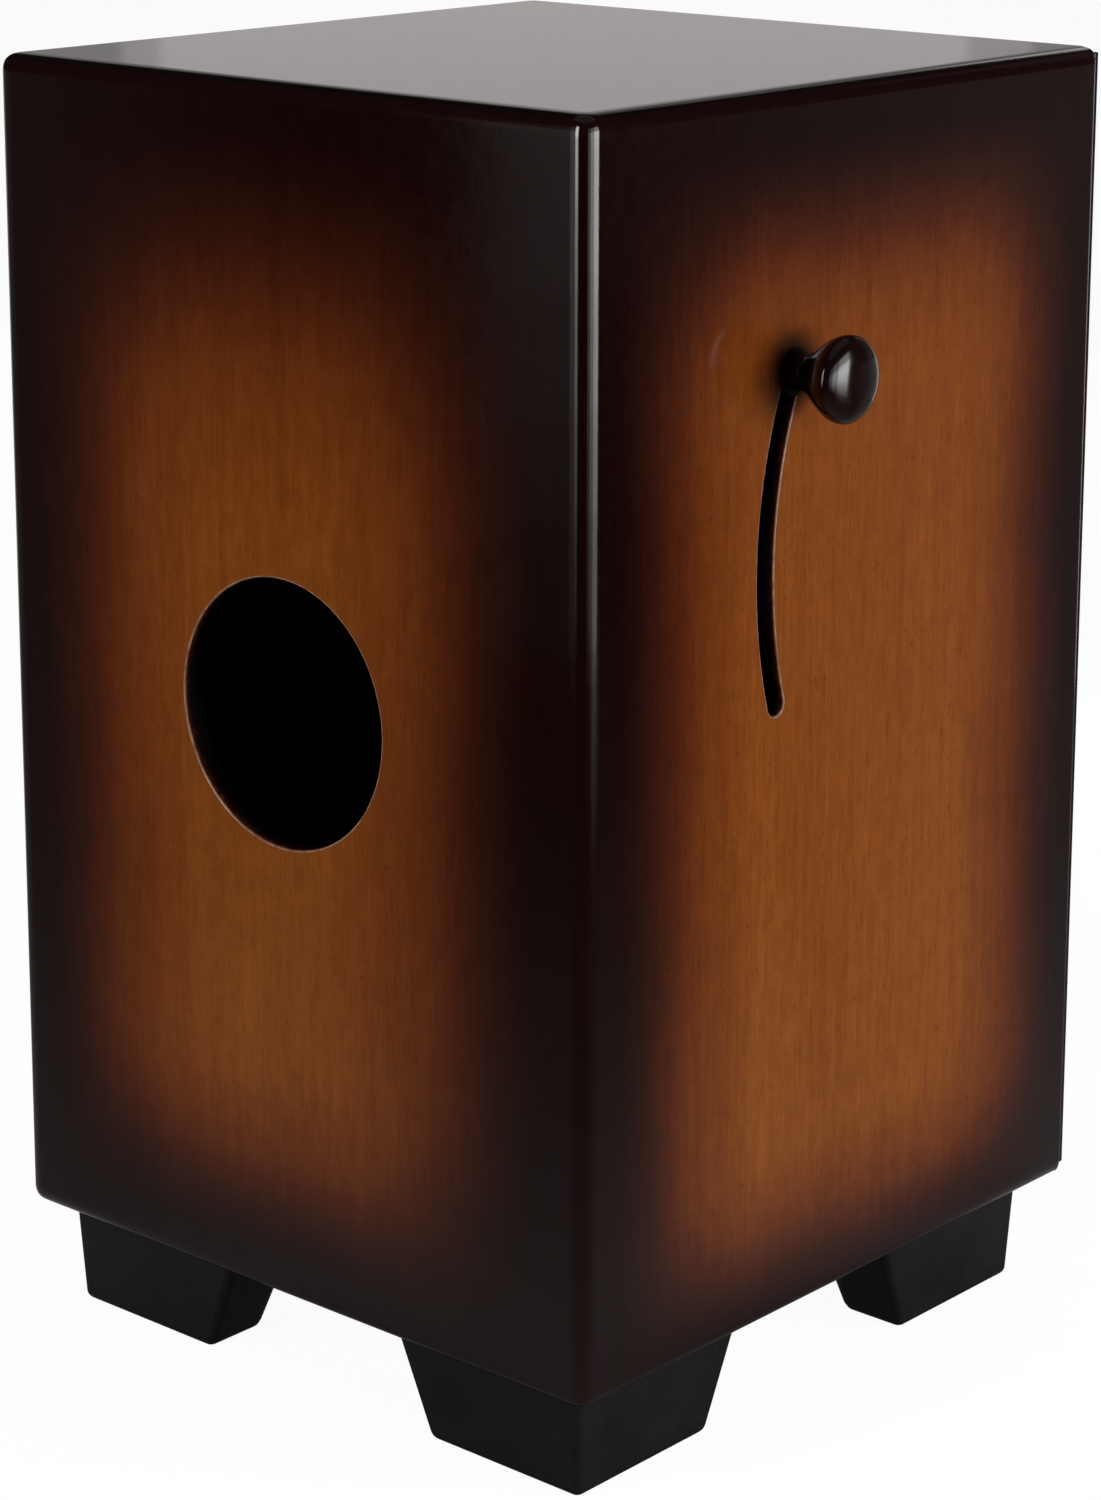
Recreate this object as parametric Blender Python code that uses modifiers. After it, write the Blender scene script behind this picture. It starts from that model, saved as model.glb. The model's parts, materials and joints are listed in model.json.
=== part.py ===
"""Cajon with a side lever that swings its snare wires onto and off the playing plate.

Metres, +Z up. The playing plate (tapa) faces -Y, the sound hole faces +Y, and the lever
comes out of the side that faces -X. The origin is on the floor, under the middle of the
whole object's box.
"""

import math

import bmesh
import bpy
from mathutils import Vector

# Cabinet
BODY_WIDTH = 0.2900
BODY_DEPTH = 0.2933
BODY_HEIGHT = 0.4530
PANEL_THICKNESS = 0.0120
REAR_THICKNESS = 0.0090
EDGE_ROUND = 0.0060
FRONT_EDGE_ROUND = 0.0025
GAP = 0.0003

# Playing plate
TAPA_THICKNESS = 0.0030
TAPA_SIDE_INSET = 0.0015
TAPA_TOP_INSET = 0.0024
TAPA_BOTTOM_INSET = 0.0043
TAPA_SCREW_INSET = 0.0048

# Sound hole, measured from the rear panel's lower lever-side corner
HOLE_RADIUS = 0.0500
HOLE_ACROSS = 0.1445
HOLE_UP = 0.2260

# Feet: corner wedges that taper downwards
FOOT_HEIGHT = 0.0423
FOOT_INSET = {"top": 0.0123, "bottom": 0.0145}
FOOT_REACH = {"top": 0.1035, "bottom": 0.0869}
FOOT_END_WIDTH = {"top": 0.0336, "bottom": 0.0261}
FOOT_ROUND = 0.0035
FOOT_SCREW_OFFSET = 0.0430
FOOT_WELL_RADIUS = 0.0090
FOOT_WEB = 0.0120
FOOT_WASHER_RADIUS = 0.0080
FOOT_WASHER_THICKNESS = 0.0015

# Lever and slot: the slot is an arc about the pivot
PIVOT_SETBACK = 0.0250
PIVOT_UP = 0.2840
LEVER_RADIUS = 0.1725
LEVER_REST = math.radians(23.9)
LEVER_TRAVEL = math.radians(40.0)
SLOT_WIDTH = 0.0088
SLOT_END_ROOM = math.radians(0.3)
ARM_THICKNESS = 0.0090
ARM_WIDTH = 0.0220
ARM_NOSE = 0.0160

# Turned knob: a neck that flares into a domed head
KNOB_REACH = 0.0292
KNOB_BASE = 0.0016
KNOB_NECK_RADIUS = 0.0070
KNOB_NECK_LENGTH = 0.0034
KNOB_WAIST = 0.0227
KNOB_RADIUS = 0.0153
BOLT_RADIUS = 0.0030
BOLT_DEPTH_IN_KNOB = 0.0150
BOLT_HEAD_RADIUS = 0.0058
BOLT_HEAD_THICKNESS = 0.0040

# Snare beam, its pivot and its two wire sets
BLOCK_SIZE = (0.0120, 0.0360, 0.0460)
BLOCK_SCREW_SPREAD = 0.0155
RUNNING_GAP = 0.0010
BEAM_FRONT = 0.0200
BEAM_BACK = 0.0140
BEAM_HEIGHT = 0.0200
PIN_RADIUS = 0.0040
PIN_IN_BEAM = 0.0150
SNARE_OFFSET = 0.0550
SNARE_STRANDS = 10
STRAND_PITCH = 0.0040
STRAND_RADIUS = 0.0008
STRAND_LENGTH = 0.1340
SNARE_PLATE = (0.0420, 0.0012, 0.0120)
SNARE_TIP = (0.0420, 0.0020, 0.0070)
SNARE_LEAN = math.radians(1.1)
SNARE_SCREW_SPREAD = 0.0120
SNARE_SCREW_DROP = 0.0026

# Fasteners: (head radius, head depth, shank radius, length)
TAPA_SCREW = (0.0034, 0.0022, 0.0015, 0.0200)
BLOCK_SCREW = (0.0036, 0.0024, 0.0017, 0.0200)
ARM_SCREW = (0.0034, 0.0022, 0.0015, 0.0240)
SNARE_SCREW = (0.0028, 0.0014, 0.0014, 0.0120)
FOOT_SCREW = (0.0045, 0.0028, 0.0022, 0.0240)
SCREW_SIDES = 10

# Faces of the cabinet
X_LEVER = (KNOB_REACH - BODY_WIDTH) / 2
X_PLAIN = X_LEVER + BODY_WIDTH
Y_REAR = (BODY_DEPTH + TAPA_THICKNESS) / 2
Y_FRONT = Y_REAR - BODY_DEPTH
Z_BOTTOM = FOOT_HEIGHT
Z_TOP = FOOT_HEIGHT + BODY_HEIGHT
PIVOT_Y = Y_FRONT + PIVOT_SETBACK
PIVOT_Z = Z_BOTTOM + PIVOT_UP


def new_collection(name):
    """Returns a new collection under the scene's own."""
    collection = bpy.data.collections.new(name)
    bpy.context.scene.collection.children.link(collection)
    return collection


def material(name, colour, roughness, metallic=0.0):
    """Returns a Principled material with one colour."""
    made = bpy.data.materials.new(name)
    made.use_nodes = True
    shader = made.node_tree.nodes["Principled BSDF"]
    shader.inputs["Base Color"].default_value = (*colour, 1.0)
    shader.inputs["Roughness"].default_value = roughness
    shader.inputs["Metallic"].default_value = metallic
    made.diffuse_color = (*colour, 1.0)
    return made


def add_mesh(name, build, finish=None, location=(0, 0, 0), rotation=(0, 0, 0)):
    """Makes an object from a bmesh function. With no finish it is a hidden cutter."""
    mesh = bpy.data.meshes.new(name)
    shape = bmesh.new()
    build(shape)
    bmesh.ops.recalc_face_normals(shape, faces=shape.faces)
    shape.to_mesh(mesh)
    shape.free()
    made = bpy.data.objects.new(name, mesh)
    made.location = location
    made.rotation_euler = rotation
    if finish:
        mesh.materials.append(finish)
        CAJON.objects.link(made)
    else:
        made.hide_render = True
        made.display_type = "WIRE"
        CUTTERS.objects.link(made)
    return made


def cube_between(shape, low, high):
    """Adds a box with the given lowest and highest corners to a bmesh."""
    size = Vector(high) - Vector(low)
    middle = (Vector(high) + Vector(low)) / 2
    corners = bmesh.ops.create_cube(shape, size=1.0)["verts"]
    bmesh.ops.scale(shape, vec=size, verts=corners)
    bmesh.ops.translate(shape, vec=middle, verts=corners)
    return corners


def box(name, low, high, finish=None):
    """Makes a box object between two corners."""
    return add_mesh(name, lambda shape: cube_between(shape, low, high), finish)


def cut(piece, *cutters):
    """Subtracts each cutter from the piece."""
    for cutter in cutters:
        boolean = piece.modifiers.new("cut_" + cutter.name, "BOOLEAN")
        boolean.operation = "DIFFERENCE"
        boolean.object = cutter


def rod(name, radius, start, end, finish=None, sides=32):
    """Makes a cylinder along X between two points at the same height."""
    length = end[0] - start[0]
    middle = (Vector(start) + Vector(end)) / 2

    def build(shape):
        bmesh.ops.create_cone(
            shape, cap_ends=True, segments=sides, radius1=radius, radius2=radius, depth=length
        )

    made = add_mesh(name, build, finish, middle, (0, math.pi / 2, 0))
    shade_round(made)
    return made


def shade_round(piece):
    """Shades a round piece smooth, with its sharp edges kept."""
    piece.data.shade_smooth()
    piece.data.set_sharp_from_angle(angle=math.radians(35))


def turned(name, profile, finish, location, direction, sides):
    """Turns (radius, height) points about an axis. The profile runs down its outer side."""
    mesh = bpy.data.meshes.new(name)
    points = [(radius, 0.0, height) for radius, height in profile]
    mesh.from_pydata(points, [(i, i + 1) for i in range(len(points) - 1)], [])
    made = bpy.data.objects.new(name, mesh)
    made.location = location
    made.rotation_euler = Vector(direction).to_track_quat("Z", "Y").to_euler()
    screw = made.modifiers.new("turn", "SCREW")
    screw.steps = screw.render_steps = sides
    screw.use_merge_vertices = True
    screw.merge_threshold = 0.00001
    screw.use_smooth_shade = True
    if finish:
        mesh.materials.append(finish)
        CAJON.objects.link(made)
    else:
        made.hide_render = True
        made.display_type = "WIRE"
        CUTTERS.objects.link(made)
    return made


def outline_plate(name, points, thickness, finish=None, middle_x=0.0):
    """Makes a plate of the given (y, z) outline, at right angles to X."""
    curve = bpy.data.curves.new(name, "CURVE")
    curve.dimensions = "2D"
    curve.fill_mode = "BOTH"
    curve.extrude = thickness / 2
    spline = curve.splines.new("POLY")
    spline.points.add(len(points) - 1)
    for point, (y, z) in zip(spline.points, points):
        point.co = (y, z, 0.0, 1.0)
    spline.use_cyclic_u = True
    drawn = bpy.data.objects.new(name, curve)
    CUTTERS.objects.link(drawn)
    bpy.context.view_layer.update()
    graph = bpy.context.evaluated_depsgraph_get()
    flat = bpy.data.meshes.new_from_object(drawn.evaluated_get(graph))
    bpy.data.objects.remove(drawn)
    bpy.data.curves.remove(curve)

    def build(shape):
        shape.from_mesh(flat)
        bmesh.ops.remove_doubles(shape, verts=shape.verts, dist=0.000001)
        for vertex in shape.verts:
            y, z, x = vertex.co
            vertex.co = (middle_x + x, y, z)

    made = add_mesh(name, build, finish)
    bpy.data.meshes.remove(flat)
    return made


def screw_profile(size, countersunk, grow=0.0):
    """The outline of a wood screw whose head seats at height 0 and points up."""
    head_radius, head_depth, shank_radius, length = size
    tip = 0.0035
    if countersunk:
        head = [(head_radius, 0.0), (head_radius, -0.0003), (shank_radius, -head_depth)]
        crown = 0.0
    else:
        head = [(head_radius * 0.75, head_depth), (head_radius, head_depth * 0.45)]
        head += [(head_radius, 0.0), (shank_radius, 0.0)]
        crown = head_depth
    if grow:
        head = [(head_radius + grow, crown + 0.0010)]
        if countersunk:
            head += [(head_radius + grow, -0.0003 - grow), (shank_radius + grow, -head_depth - grow)]
        else:
            head += [(head_radius + grow, -grow), (shank_radius + grow, -grow)]
        crown += 0.0010
    shank = [(shank_radius + grow, tip - length), (0.0004 + grow, -length - grow)]
    return [(0.0, crown)] + head + shank + [(0.0, -length - grow)]


def wood_screw(name, seat, direction, size, finish, targets, countersunk=True):
    """Drives a screw through the targets: direction points out of its head."""
    made = turned(name, screw_profile(size, countersunk), finish, seat, direction, SCREW_SIDES)
    grown = screw_profile(size, countersunk, GAP)
    cutter = turned(name + "_hole", grown, None, seat, direction, SCREW_SIDES)
    for target in targets:
        cut(target, cutter)
    return made


def arc(centre, radius, start, end, steps):
    """Points of an arc in the Y-Z plane. Angle 0 is towards the rear, and 90 is up."""
    y, z = centre
    angles = [start + (end - start) * i / steps for i in range(steps + 1)]
    return [(y + radius * math.cos(a), z + radius * math.sin(a)) for a in angles]


def on_lever(distance, angle=LEVER_REST):
    """The (y, z) point at a distance from the pivot along the lever."""
    return PIVOT_Y + distance * math.cos(angle), PIVOT_Z + distance * math.sin(angle)


# --- cabinet -------------------------------------------------------------------------


def make_body_block():
    """The cabinet's outer shape, with its edges rounded: each panel is a slice of it."""

    def build(shape):
        cube_between(shape, (X_LEVER, Y_FRONT, Z_BOTTOM), (X_PLAIN, Y_REAR, Z_TOP))
        weight = shape.edges.layers.float.new("bevel_weight_edge")
        for edge in shape.edges:
            in_front = all(abs(vertex.co.y - Y_FRONT) < 1e-6 for vertex in edge.verts)
            edge[weight] = FRONT_EDGE_ROUND / EDGE_ROUND if in_front else 1.0

    block = add_mesh("body_block", build)
    bevel = block.modifiers.new("round", "BEVEL")
    bevel.limit_method = "WEIGHT"
    bevel.width = EDGE_ROUND
    bevel.segments = 4
    return block


def make_panels(lacquer):
    """Five panels: the top and bottom lie over the sides, and the rear covers all four."""
    block = make_body_block()
    behind = Y_REAR - REAR_THICKNESS - GAP
    low_side = Z_BOTTOM + PANEL_THICKNESS + GAP
    high_side = Z_TOP - PANEL_THICKNESS - GAP
    slices = {
        "top_panel": ((X_LEVER, Y_FRONT, Z_TOP - PANEL_THICKNESS), (X_PLAIN, behind, Z_TOP)),
        "bottom_panel": ((X_LEVER, Y_FRONT, Z_BOTTOM), (X_PLAIN, behind, Z_BOTTOM + PANEL_THICKNESS)),
        "lever_side_panel": ((X_LEVER, Y_FRONT, low_side), (X_LEVER + PANEL_THICKNESS, behind, high_side)),
        "plain_side_panel": ((X_PLAIN - PANEL_THICKNESS, Y_FRONT, low_side), (X_PLAIN, behind, high_side)),
        "rear_panel": ((X_LEVER, Y_REAR - REAR_THICKNESS, Z_BOTTOM), (X_PLAIN, Y_REAR, Z_TOP)),
    }
    panels = {}
    for name, (low, high) in slices.items():
        panels[name] = box(name, low, high, lacquer)
        boolean = panels[name].modifiers.new("outer_shape", "BOOLEAN")
        boolean.operation = "INTERSECT"
        boolean.object = block
    return panels


def cut_sound_hole(rear_panel):
    """Cuts the round hole through the rear panel."""

    def build(shape):
        depth = REAR_THICKNESS * 3
        bmesh.ops.create_cone(
            shape, cap_ends=True, segments=72, radius1=HOLE_RADIUS, radius2=HOLE_RADIUS, depth=depth
        )

    middle = (X_LEVER + HOLE_ACROSS, Y_REAR, Z_BOTTOM + HOLE_UP)
    cut(rear_panel, add_mesh("sound_hole", build, None, middle, (math.pi / 2, 0, 0)))


def cut_lever_slot(side_panel):
    """Cuts the curved slot, with round ends, that the knob's bolt runs in."""
    half = SLOT_WIDTH / 2
    high = LEVER_REST + SLOT_END_ROOM
    low = LEVER_REST - LEVER_TRAVEL - SLOT_END_ROOM
    pivot = (PIVOT_Y, PIVOT_Z)
    outline = arc(pivot, LEVER_RADIUS + half, low, high, 20)
    outline += arc(on_lever(LEVER_RADIUS, high), half, high, high + math.pi, 10)[1:]
    outline += arc(pivot, LEVER_RADIUS - half, high, low, 20)[1:]
    outline += arc(on_lever(LEVER_RADIUS, low), half, low + math.pi, low + 2 * math.pi, 10)[1:-1]
    middle = X_LEVER + PANEL_THICKNESS / 2
    cut(side_panel, outline_plate("lever_slot", outline, PANEL_THICKNESS * 2, None, middle))


def make_tapa(panels, lacquer, steel):
    """The thin playing plate, screwed to the front edges of the four panels."""
    low = (X_LEVER + TAPA_SIDE_INSET, Y_FRONT - TAPA_THICKNESS, Z_BOTTOM + TAPA_BOTTOM_INSET)
    high = (X_PLAIN - TAPA_SIDE_INSET, Y_FRONT - GAP, Z_TOP - TAPA_TOP_INSET)
    tapa = box("tapa", low, high, lacquer)
    left, right = low[0] + TAPA_SCREW_INSET, high[0] - TAPA_SCREW_INSET
    bottom, top = low[2] + TAPA_SCREW_INSET, high[2] - TAPA_SCREW_INSET
    corner_clear = 0.0300
    across = [left + corner_clear + (right - left - 2 * corner_clear) * i / 3 for i in range(4)]
    upward = [bottom + (top - bottom) * (i + 1) / 4 for i in range(3)]
    places = [(x, top, "top_panel") for x in across]
    places += [(x, bottom, "bottom_panel") for x in across]
    places += [(left, z, "lever_side_panel") for z in upward]
    places += [(right, z, "plain_side_panel") for z in upward]
    for number, (x, z, panel) in enumerate(places, start=1):
        seat = (x, Y_FRONT - TAPA_THICKNESS + 0.0002, z)
        targets = (tapa, panels[panel])
        wood_screw(f"tapa_screw_{number:02d}", seat, (0, -1, 0), TAPA_SCREW, steel, targets)
    return tapa


# --- feet ----------------------------------------------------------------------------


def foot_outline(level):
    """Five (x, y) corners of the foot's plan, measured from the cabinet's corner."""
    near, far = FOOT_INSET[level], FOOT_REACH[level]
    width = near + FOOT_END_WIDTH[level]
    return [(near, near), (far, near), (far, width), (width, far), (near, far)]


def make_foot(name, corner, inward, bottom_panel, rubber, steel):
    """A rubber corner foot, with a screw and a washer at the top of its well."""
    corner_x, corner_y = corner
    inward_x, inward_y = inward

    def build(shape):
        rings = []
        for level, z in (("bottom", 0.0), ("top", FOOT_HEIGHT - GAP)):
            ring = [
                shape.verts.new((corner_x + inward_x * x, corner_y + inward_y * y, z))
                for x, y in foot_outline(level)
            ]
            rings.append(ring)
        low, high = rings
        shape.faces.new(low)
        shape.faces.new(high)
        for i in range(len(low)):
            after = (i + 1) % len(low)
            shape.faces.new((low[i], low[after], high[after], high[i]))

    foot = add_mesh("foot_" + name, build, rubber)
    bevel = foot.modifiers.new("round", "BEVEL")
    bevel.width = FOOT_ROUND
    bevel.segments = 3
    centre_x = corner_x + inward_x * FOOT_SCREW_OFFSET
    centre_y = corner_y + inward_y * FOOT_SCREW_OFFSET
    ceiling = FOOT_HEIGHT - FOOT_WEB
    well = [(0.0, ceiling), (FOOT_WELL_RADIUS, ceiling), (FOOT_WELL_RADIUS, -0.005), (0.0, -0.005)]
    cut(foot, turned(f"foot_well_{name}", well, None, (centre_x, centre_y, 0.0), (0, 0, 1), 20))
    inner = FOOT_SCREW[2] + GAP
    top = ceiling - GAP
    under = top - FOOT_WASHER_THICKNESS
    ring = ring_profile(inner, FOOT_WASHER_RADIUS, under, top)
    turned(f"foot_washer_{name}", ring, steel, (centre_x, centre_y, 0.0), (0, 0, 1), 20)
    seat = (centre_x, centre_y, under - GAP)
    targets = (foot, bottom_panel)
    wood_screw(f"foot_screw_{name}", seat, (0, 0, -1), FOOT_SCREW, steel, targets, countersunk=False)


def make_feet(bottom_panel, rubber, steel):
    """One foot under each corner of the cabinet."""
    for side, corner_x, inward_x in (("lever_side", X_LEVER, 1), ("plain_side", X_PLAIN, -1)):
        for end, corner_y, inward_y in (("front", Y_FRONT, 1), ("rear", Y_REAR, -1)):
            corner, inward = (corner_x, corner_y), (inward_x, inward_y)
            make_foot(f"{end}_{side}", corner, inward, bottom_panel, rubber, steel)


# --- snare mechanism -----------------------------------------------------------------


def make_pivot_block(side, outer_face, inward, panel, wood, steel):
    """A wooden bearing block on a side panel's inner face. Returns its inner face's x."""
    near = outer_face + inward * (PANEL_THICKNESS + GAP)
    far = near + inward * BLOCK_SIZE[0]
    half_y, half_z = BLOCK_SIZE[1] / 2, BLOCK_SIZE[2] / 2
    low = (min(near, far), PIVOT_Y - half_y, PIVOT_Z - half_z)
    high = (max(near, far), PIVOT_Y + half_y, PIVOT_Z + half_z)
    block = box(f"pivot_block_{side}", low, high, wood)
    start, end = (low[0] - 0.005, PIVOT_Y, PIVOT_Z), (high[0] + 0.005, PIVOT_Y, PIVOT_Z)
    cut(block, rod(f"pivot_bore_{side}", PIN_RADIUS + GAP, start, end))
    for end_name, offset in (("lower", -BLOCK_SCREW_SPREAD), ("upper", BLOCK_SCREW_SPREAD)):
        seat = (far, PIVOT_Y, PIVOT_Z + offset)
        name = f"pivot_block_screw_{side}_{end_name}"
        wood_screw(name, seat, (inward, 0, 0), BLOCK_SCREW, steel, (block, panel))
    return far


def make_lever_arm(near, wood):
    """The flat wooden arm, pivoted at its front end and holding the knob's bolt at its rear."""
    half = ARM_WIDTH / 2
    quarter = math.pi / 2
    nose = on_lever(half - ARM_NOSE)
    tail = on_lever(LEVER_RADIUS)
    outline = arc(tail, half, LEVER_REST - quarter, LEVER_REST + quarter, 14)
    outline += arc(nose, half, LEVER_REST + quarter, LEVER_REST + 3 * quarter, 14)
    return outline_plate("lever_arm", outline, ARM_THICKNESS, wood, near + ARM_THICKNESS / 2)


def make_beam(start_x, end_x, wood):
    """The wooden beam that carries the snare wires and turns on its two end pins."""
    low = (start_x, PIVOT_Y - BEAM_FRONT, PIVOT_Z - BEAM_HEIGHT / 2)
    high = (end_x, PIVOT_Y + BEAM_BACK, PIVOT_Z + BEAM_HEIGHT / 2)
    beam = box("snare_beam", low, high, wood)
    bevel = beam.modifiers.new("ease_edges", "BEVEL")
    bevel.width = 0.0015
    bevel.segments = 2
    return beam


def make_pin(side, start_x, end_x, steel, targets):
    """A steel dowel pin on the pivot axis, with its hole in each target."""
    start, end = (start_x, PIVOT_Y, PIVOT_Z), (end_x, PIVOT_Y, PIVOT_Z)
    pin = rod(f"pivot_pin_{side}", PIN_RADIUS, start, end, steel)
    wide = (start_x - GAP, PIVOT_Y, PIVOT_Z), (end_x + GAP, PIVOT_Y, PIVOT_Z)
    hole = rod(f"pin_hole_{side}", PIN_RADIUS + GAP, *wide)
    for target in targets:
        cut(target, hole)
    return pin


def snare_parts(shape):
    """The strands of one wire set as separate hexagonal rods, from plate to tip."""
    for i in range(SNARE_STRANDS):
        x = (i - (SNARE_STRANDS - 1) / 2) * STRAND_PITCH
        made = bmesh.ops.create_cone(
            shape,
            cap_ends=True,
            segments=6,
            radius1=STRAND_RADIUS,
            radius2=STRAND_RADIUS,
            depth=STRAND_LENGTH,
        )
        bmesh.ops.translate(shape, vec=(x, 0, STRAND_LENGTH / 2), verts=made["verts"])


def make_snare_set(side, middle_x, beam, steel, black):
    """One snare wire set, screwed to the beam's front face and leaning on the tapa."""
    width, depth, height = SNARE_PLATE
    face_y = PIVOT_Y - BEAM_FRONT - GAP - depth / 2 - 0.0001

    def build(shape):
        cube_between(shape, (-width / 2, -depth / 2, -height / 2), (width / 2, depth / 2, height / 2))

    where = (middle_x, face_y, PIVOT_Z)
    lean = (SNARE_LEAN, 0, 0)
    wires = add_mesh(f"snare_wires_{side}", build, steel, where, lean)
    strands = add_mesh(f"strands_{side}", snare_parts, None, where, lean)
    tip_width, tip_depth, tip_height = SNARE_TIP

    def build_tip(shape):
        low = (-tip_width / 2, -tip_depth / 2, STRAND_LENGTH - tip_height / 2)
        high = (tip_width / 2, tip_depth / 2, STRAND_LENGTH + tip_height / 2)
        cube_between(shape, low, high)

    tip = add_mesh(f"snare_tip_{side}", build_tip, None, where, lean)
    for piece in (strands, tip):
        union = wires.modifiers.new("join_" + piece.name, "BOOLEAN")
        union.operation = "UNION"
        union.object = piece
    pieces = [wires]
    for end_name, offset in (("outer", -SNARE_SCREW_SPREAD), ("inner", SNARE_SCREW_SPREAD)):
        seat = (middle_x + offset, face_y - depth / 2 - 0.0002, PIVOT_Z - SNARE_SCREW_DROP)
        name = f"snare_screw_{side}_{end_name}"
        targets = (wires, beam)
        screw = wood_screw(name, seat, (0, -1, 0), SNARE_SCREW, black, targets, countersunk=False)
        pieces.append(screw)
    return pieces


def knob_profile():
    """The knob's (radius, height) outline, from its dome down to its base and up its bore."""
    dome = KNOB_REACH - KNOB_WAIST
    angles = [math.pi / 2 * i / 8 for i in range(9)]
    outline = [(KNOB_RADIUS * math.sin(a), KNOB_WAIST + dome * math.cos(a)) for a in angles]
    flare = KNOB_WAIST - KNOB_BASE - KNOB_NECK_LENGTH
    for i in range(1, 10):
        share = 1 - i / 9
        ease = share * share * (3 - 2 * share)
        radius = KNOB_NECK_RADIUS + (KNOB_RADIUS - KNOB_NECK_RADIUS) * ease
        outline.append((radius, KNOB_BASE + KNOB_NECK_LENGTH + flare * share))
    bore = BOLT_RADIUS + GAP
    ceiling = KNOB_BASE + BOLT_DEPTH_IN_KNOB + GAP
    return outline + [(KNOB_NECK_RADIUS, KNOB_BASE), (bore, KNOB_BASE), (bore, ceiling), (0.0, ceiling)]


def ring_profile(inner, outer, low, high):
    """The closed (radius, height) outline of a washer or a tube."""
    return [(inner, high), (outer, high), (outer, low), (inner, low), (inner, high)]


def make_knob_stack(arm, arm_near, lacquer, nylon, steel):
    """The bolt through the arm and the slot, with the washers, the spacer and the knob on it."""
    y, z = on_lever(LEVER_RADIUS)
    outer = (X_LEVER, y, z)
    outward = (-1, 0, 0)
    clear = BOLT_RADIUS + GAP
    inner_face = -PANEL_THICKNESS
    arm_face = X_LEVER - arm_near
    washer = 0.0015
    pieces = [turned("knob", knob_profile(), lacquer, outer, outward, 32)]
    rim = ring_profile(clear, 0.0085, GAP, KNOB_BASE - GAP)
    pieces.append(turned("knob_washer", rim, nylon, outer, outward, 20))
    guide_low = inner_face - GAP - washer
    guide = ring_profile(clear, 0.0100, guide_low, inner_face - GAP)
    pieces.append(turned("guide_washer", guide, nylon, outer, outward, 20))
    spacer = ring_profile(clear, 0.0055, arm_face + GAP, guide_low - GAP)
    pieces.append(turned("bolt_spacer", spacer, steel, outer, outward, 20))
    head_top = arm_face - ARM_THICKNESS - GAP
    head_low = head_top - BOLT_HEAD_THICKNESS
    reach = KNOB_BASE + BOLT_DEPTH_IN_KNOB
    shank = [(0.0, reach), (BOLT_RADIUS, reach), (BOLT_RADIUS, head_low + 0.001), (0.0, head_low + 0.001)]
    bolt = turned("knob_bolt", shank, steel, outer, outward, 24)
    head = [(0.0, head_top), (BOLT_HEAD_RADIUS, head_top), (BOLT_HEAD_RADIUS, head_low), (0.0, head_low)]
    union = bolt.modifiers.new("hexagon_head", "BOOLEAN")
    union.operation = "UNION"
    union.object = turned("bolt_head", head, None, outer, outward, 6)
    start, end = (arm_near - 0.005, y, z), (arm_near + ARM_THICKNESS + 0.005, y, z)
    cut(arm, rod("bolt_hole_in_arm", clear, start, end))
    return pieces + [bolt]


def make_mechanism(panels, wood, steel, snare_steel, black, knob_lacquer, nylon):
    """Everything that turns with the lever, and the two blocks that it turns in."""
    lever_panel, plain_panel = panels["lever_side_panel"], panels["plain_side_panel"]
    lever_block = make_pivot_block("lever_side", X_LEVER, 1, lever_panel, wood, steel)
    plain_block = make_pivot_block("plain_side", X_PLAIN, -1, plain_panel, wood, steel)
    arm_near = lever_block + RUNNING_GAP
    arm = make_lever_arm(arm_near, wood)
    beam_start = arm_near + ARM_THICKNESS + GAP
    beam_end = plain_block - RUNNING_GAP
    beam = make_beam(beam_start, beam_end, wood)
    pin_start = X_LEVER + PANEL_THICKNESS + RUNNING_GAP
    pin_end = X_PLAIN - PANEL_THICKNESS - RUNNING_GAP
    moving = [
        arm,
        beam,
        make_pin("lever_side", pin_start, beam_start + PIN_IN_BEAM, steel, (arm, beam)),
        make_pin("plain_side", beam_end - PIN_IN_BEAM, pin_end, steel, (beam,)),
    ]
    for end_name, distance in (("front", -0.0115), ("rear", 0.0095)):
        y, z = on_lever(distance)
        name = f"lever_arm_screw_{end_name}"
        moving.append(wood_screw(name, (arm_near, y, z), (-1, 0, 0), ARM_SCREW, steel, (arm, beam)))
    middle = (X_LEVER + X_PLAIN) / 2
    for side, offset in (("lever_side", -SNARE_OFFSET), ("plain_side", SNARE_OFFSET)):
        moving += make_snare_set(side, middle + offset, beam, snare_steel, black)
    moving += make_knob_stack(arm, arm_near, knob_lacquer, nylon, steel)
    hang_on_axis(moving, middle)


def hang_on_axis(pieces, middle_x):
    """Parents the lever's pieces to an empty on the axis that they turn about, along X."""
    axis = bpy.data.objects.new("snare_lever_axis", None)
    axis.location = (middle_x, PIVOT_Y, PIVOT_Z)
    CAJON.objects.link(axis)
    bpy.context.view_layer.update()
    for piece in pieces:
        piece.parent = axis
        piece.matrix_parent_inverse = axis.matrix_world.inverted()


for leftover in list(bpy.data.objects):
    bpy.data.objects.remove(leftover)
CAJON = new_collection("cajon")
CUTTERS = new_collection("cutters")

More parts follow.
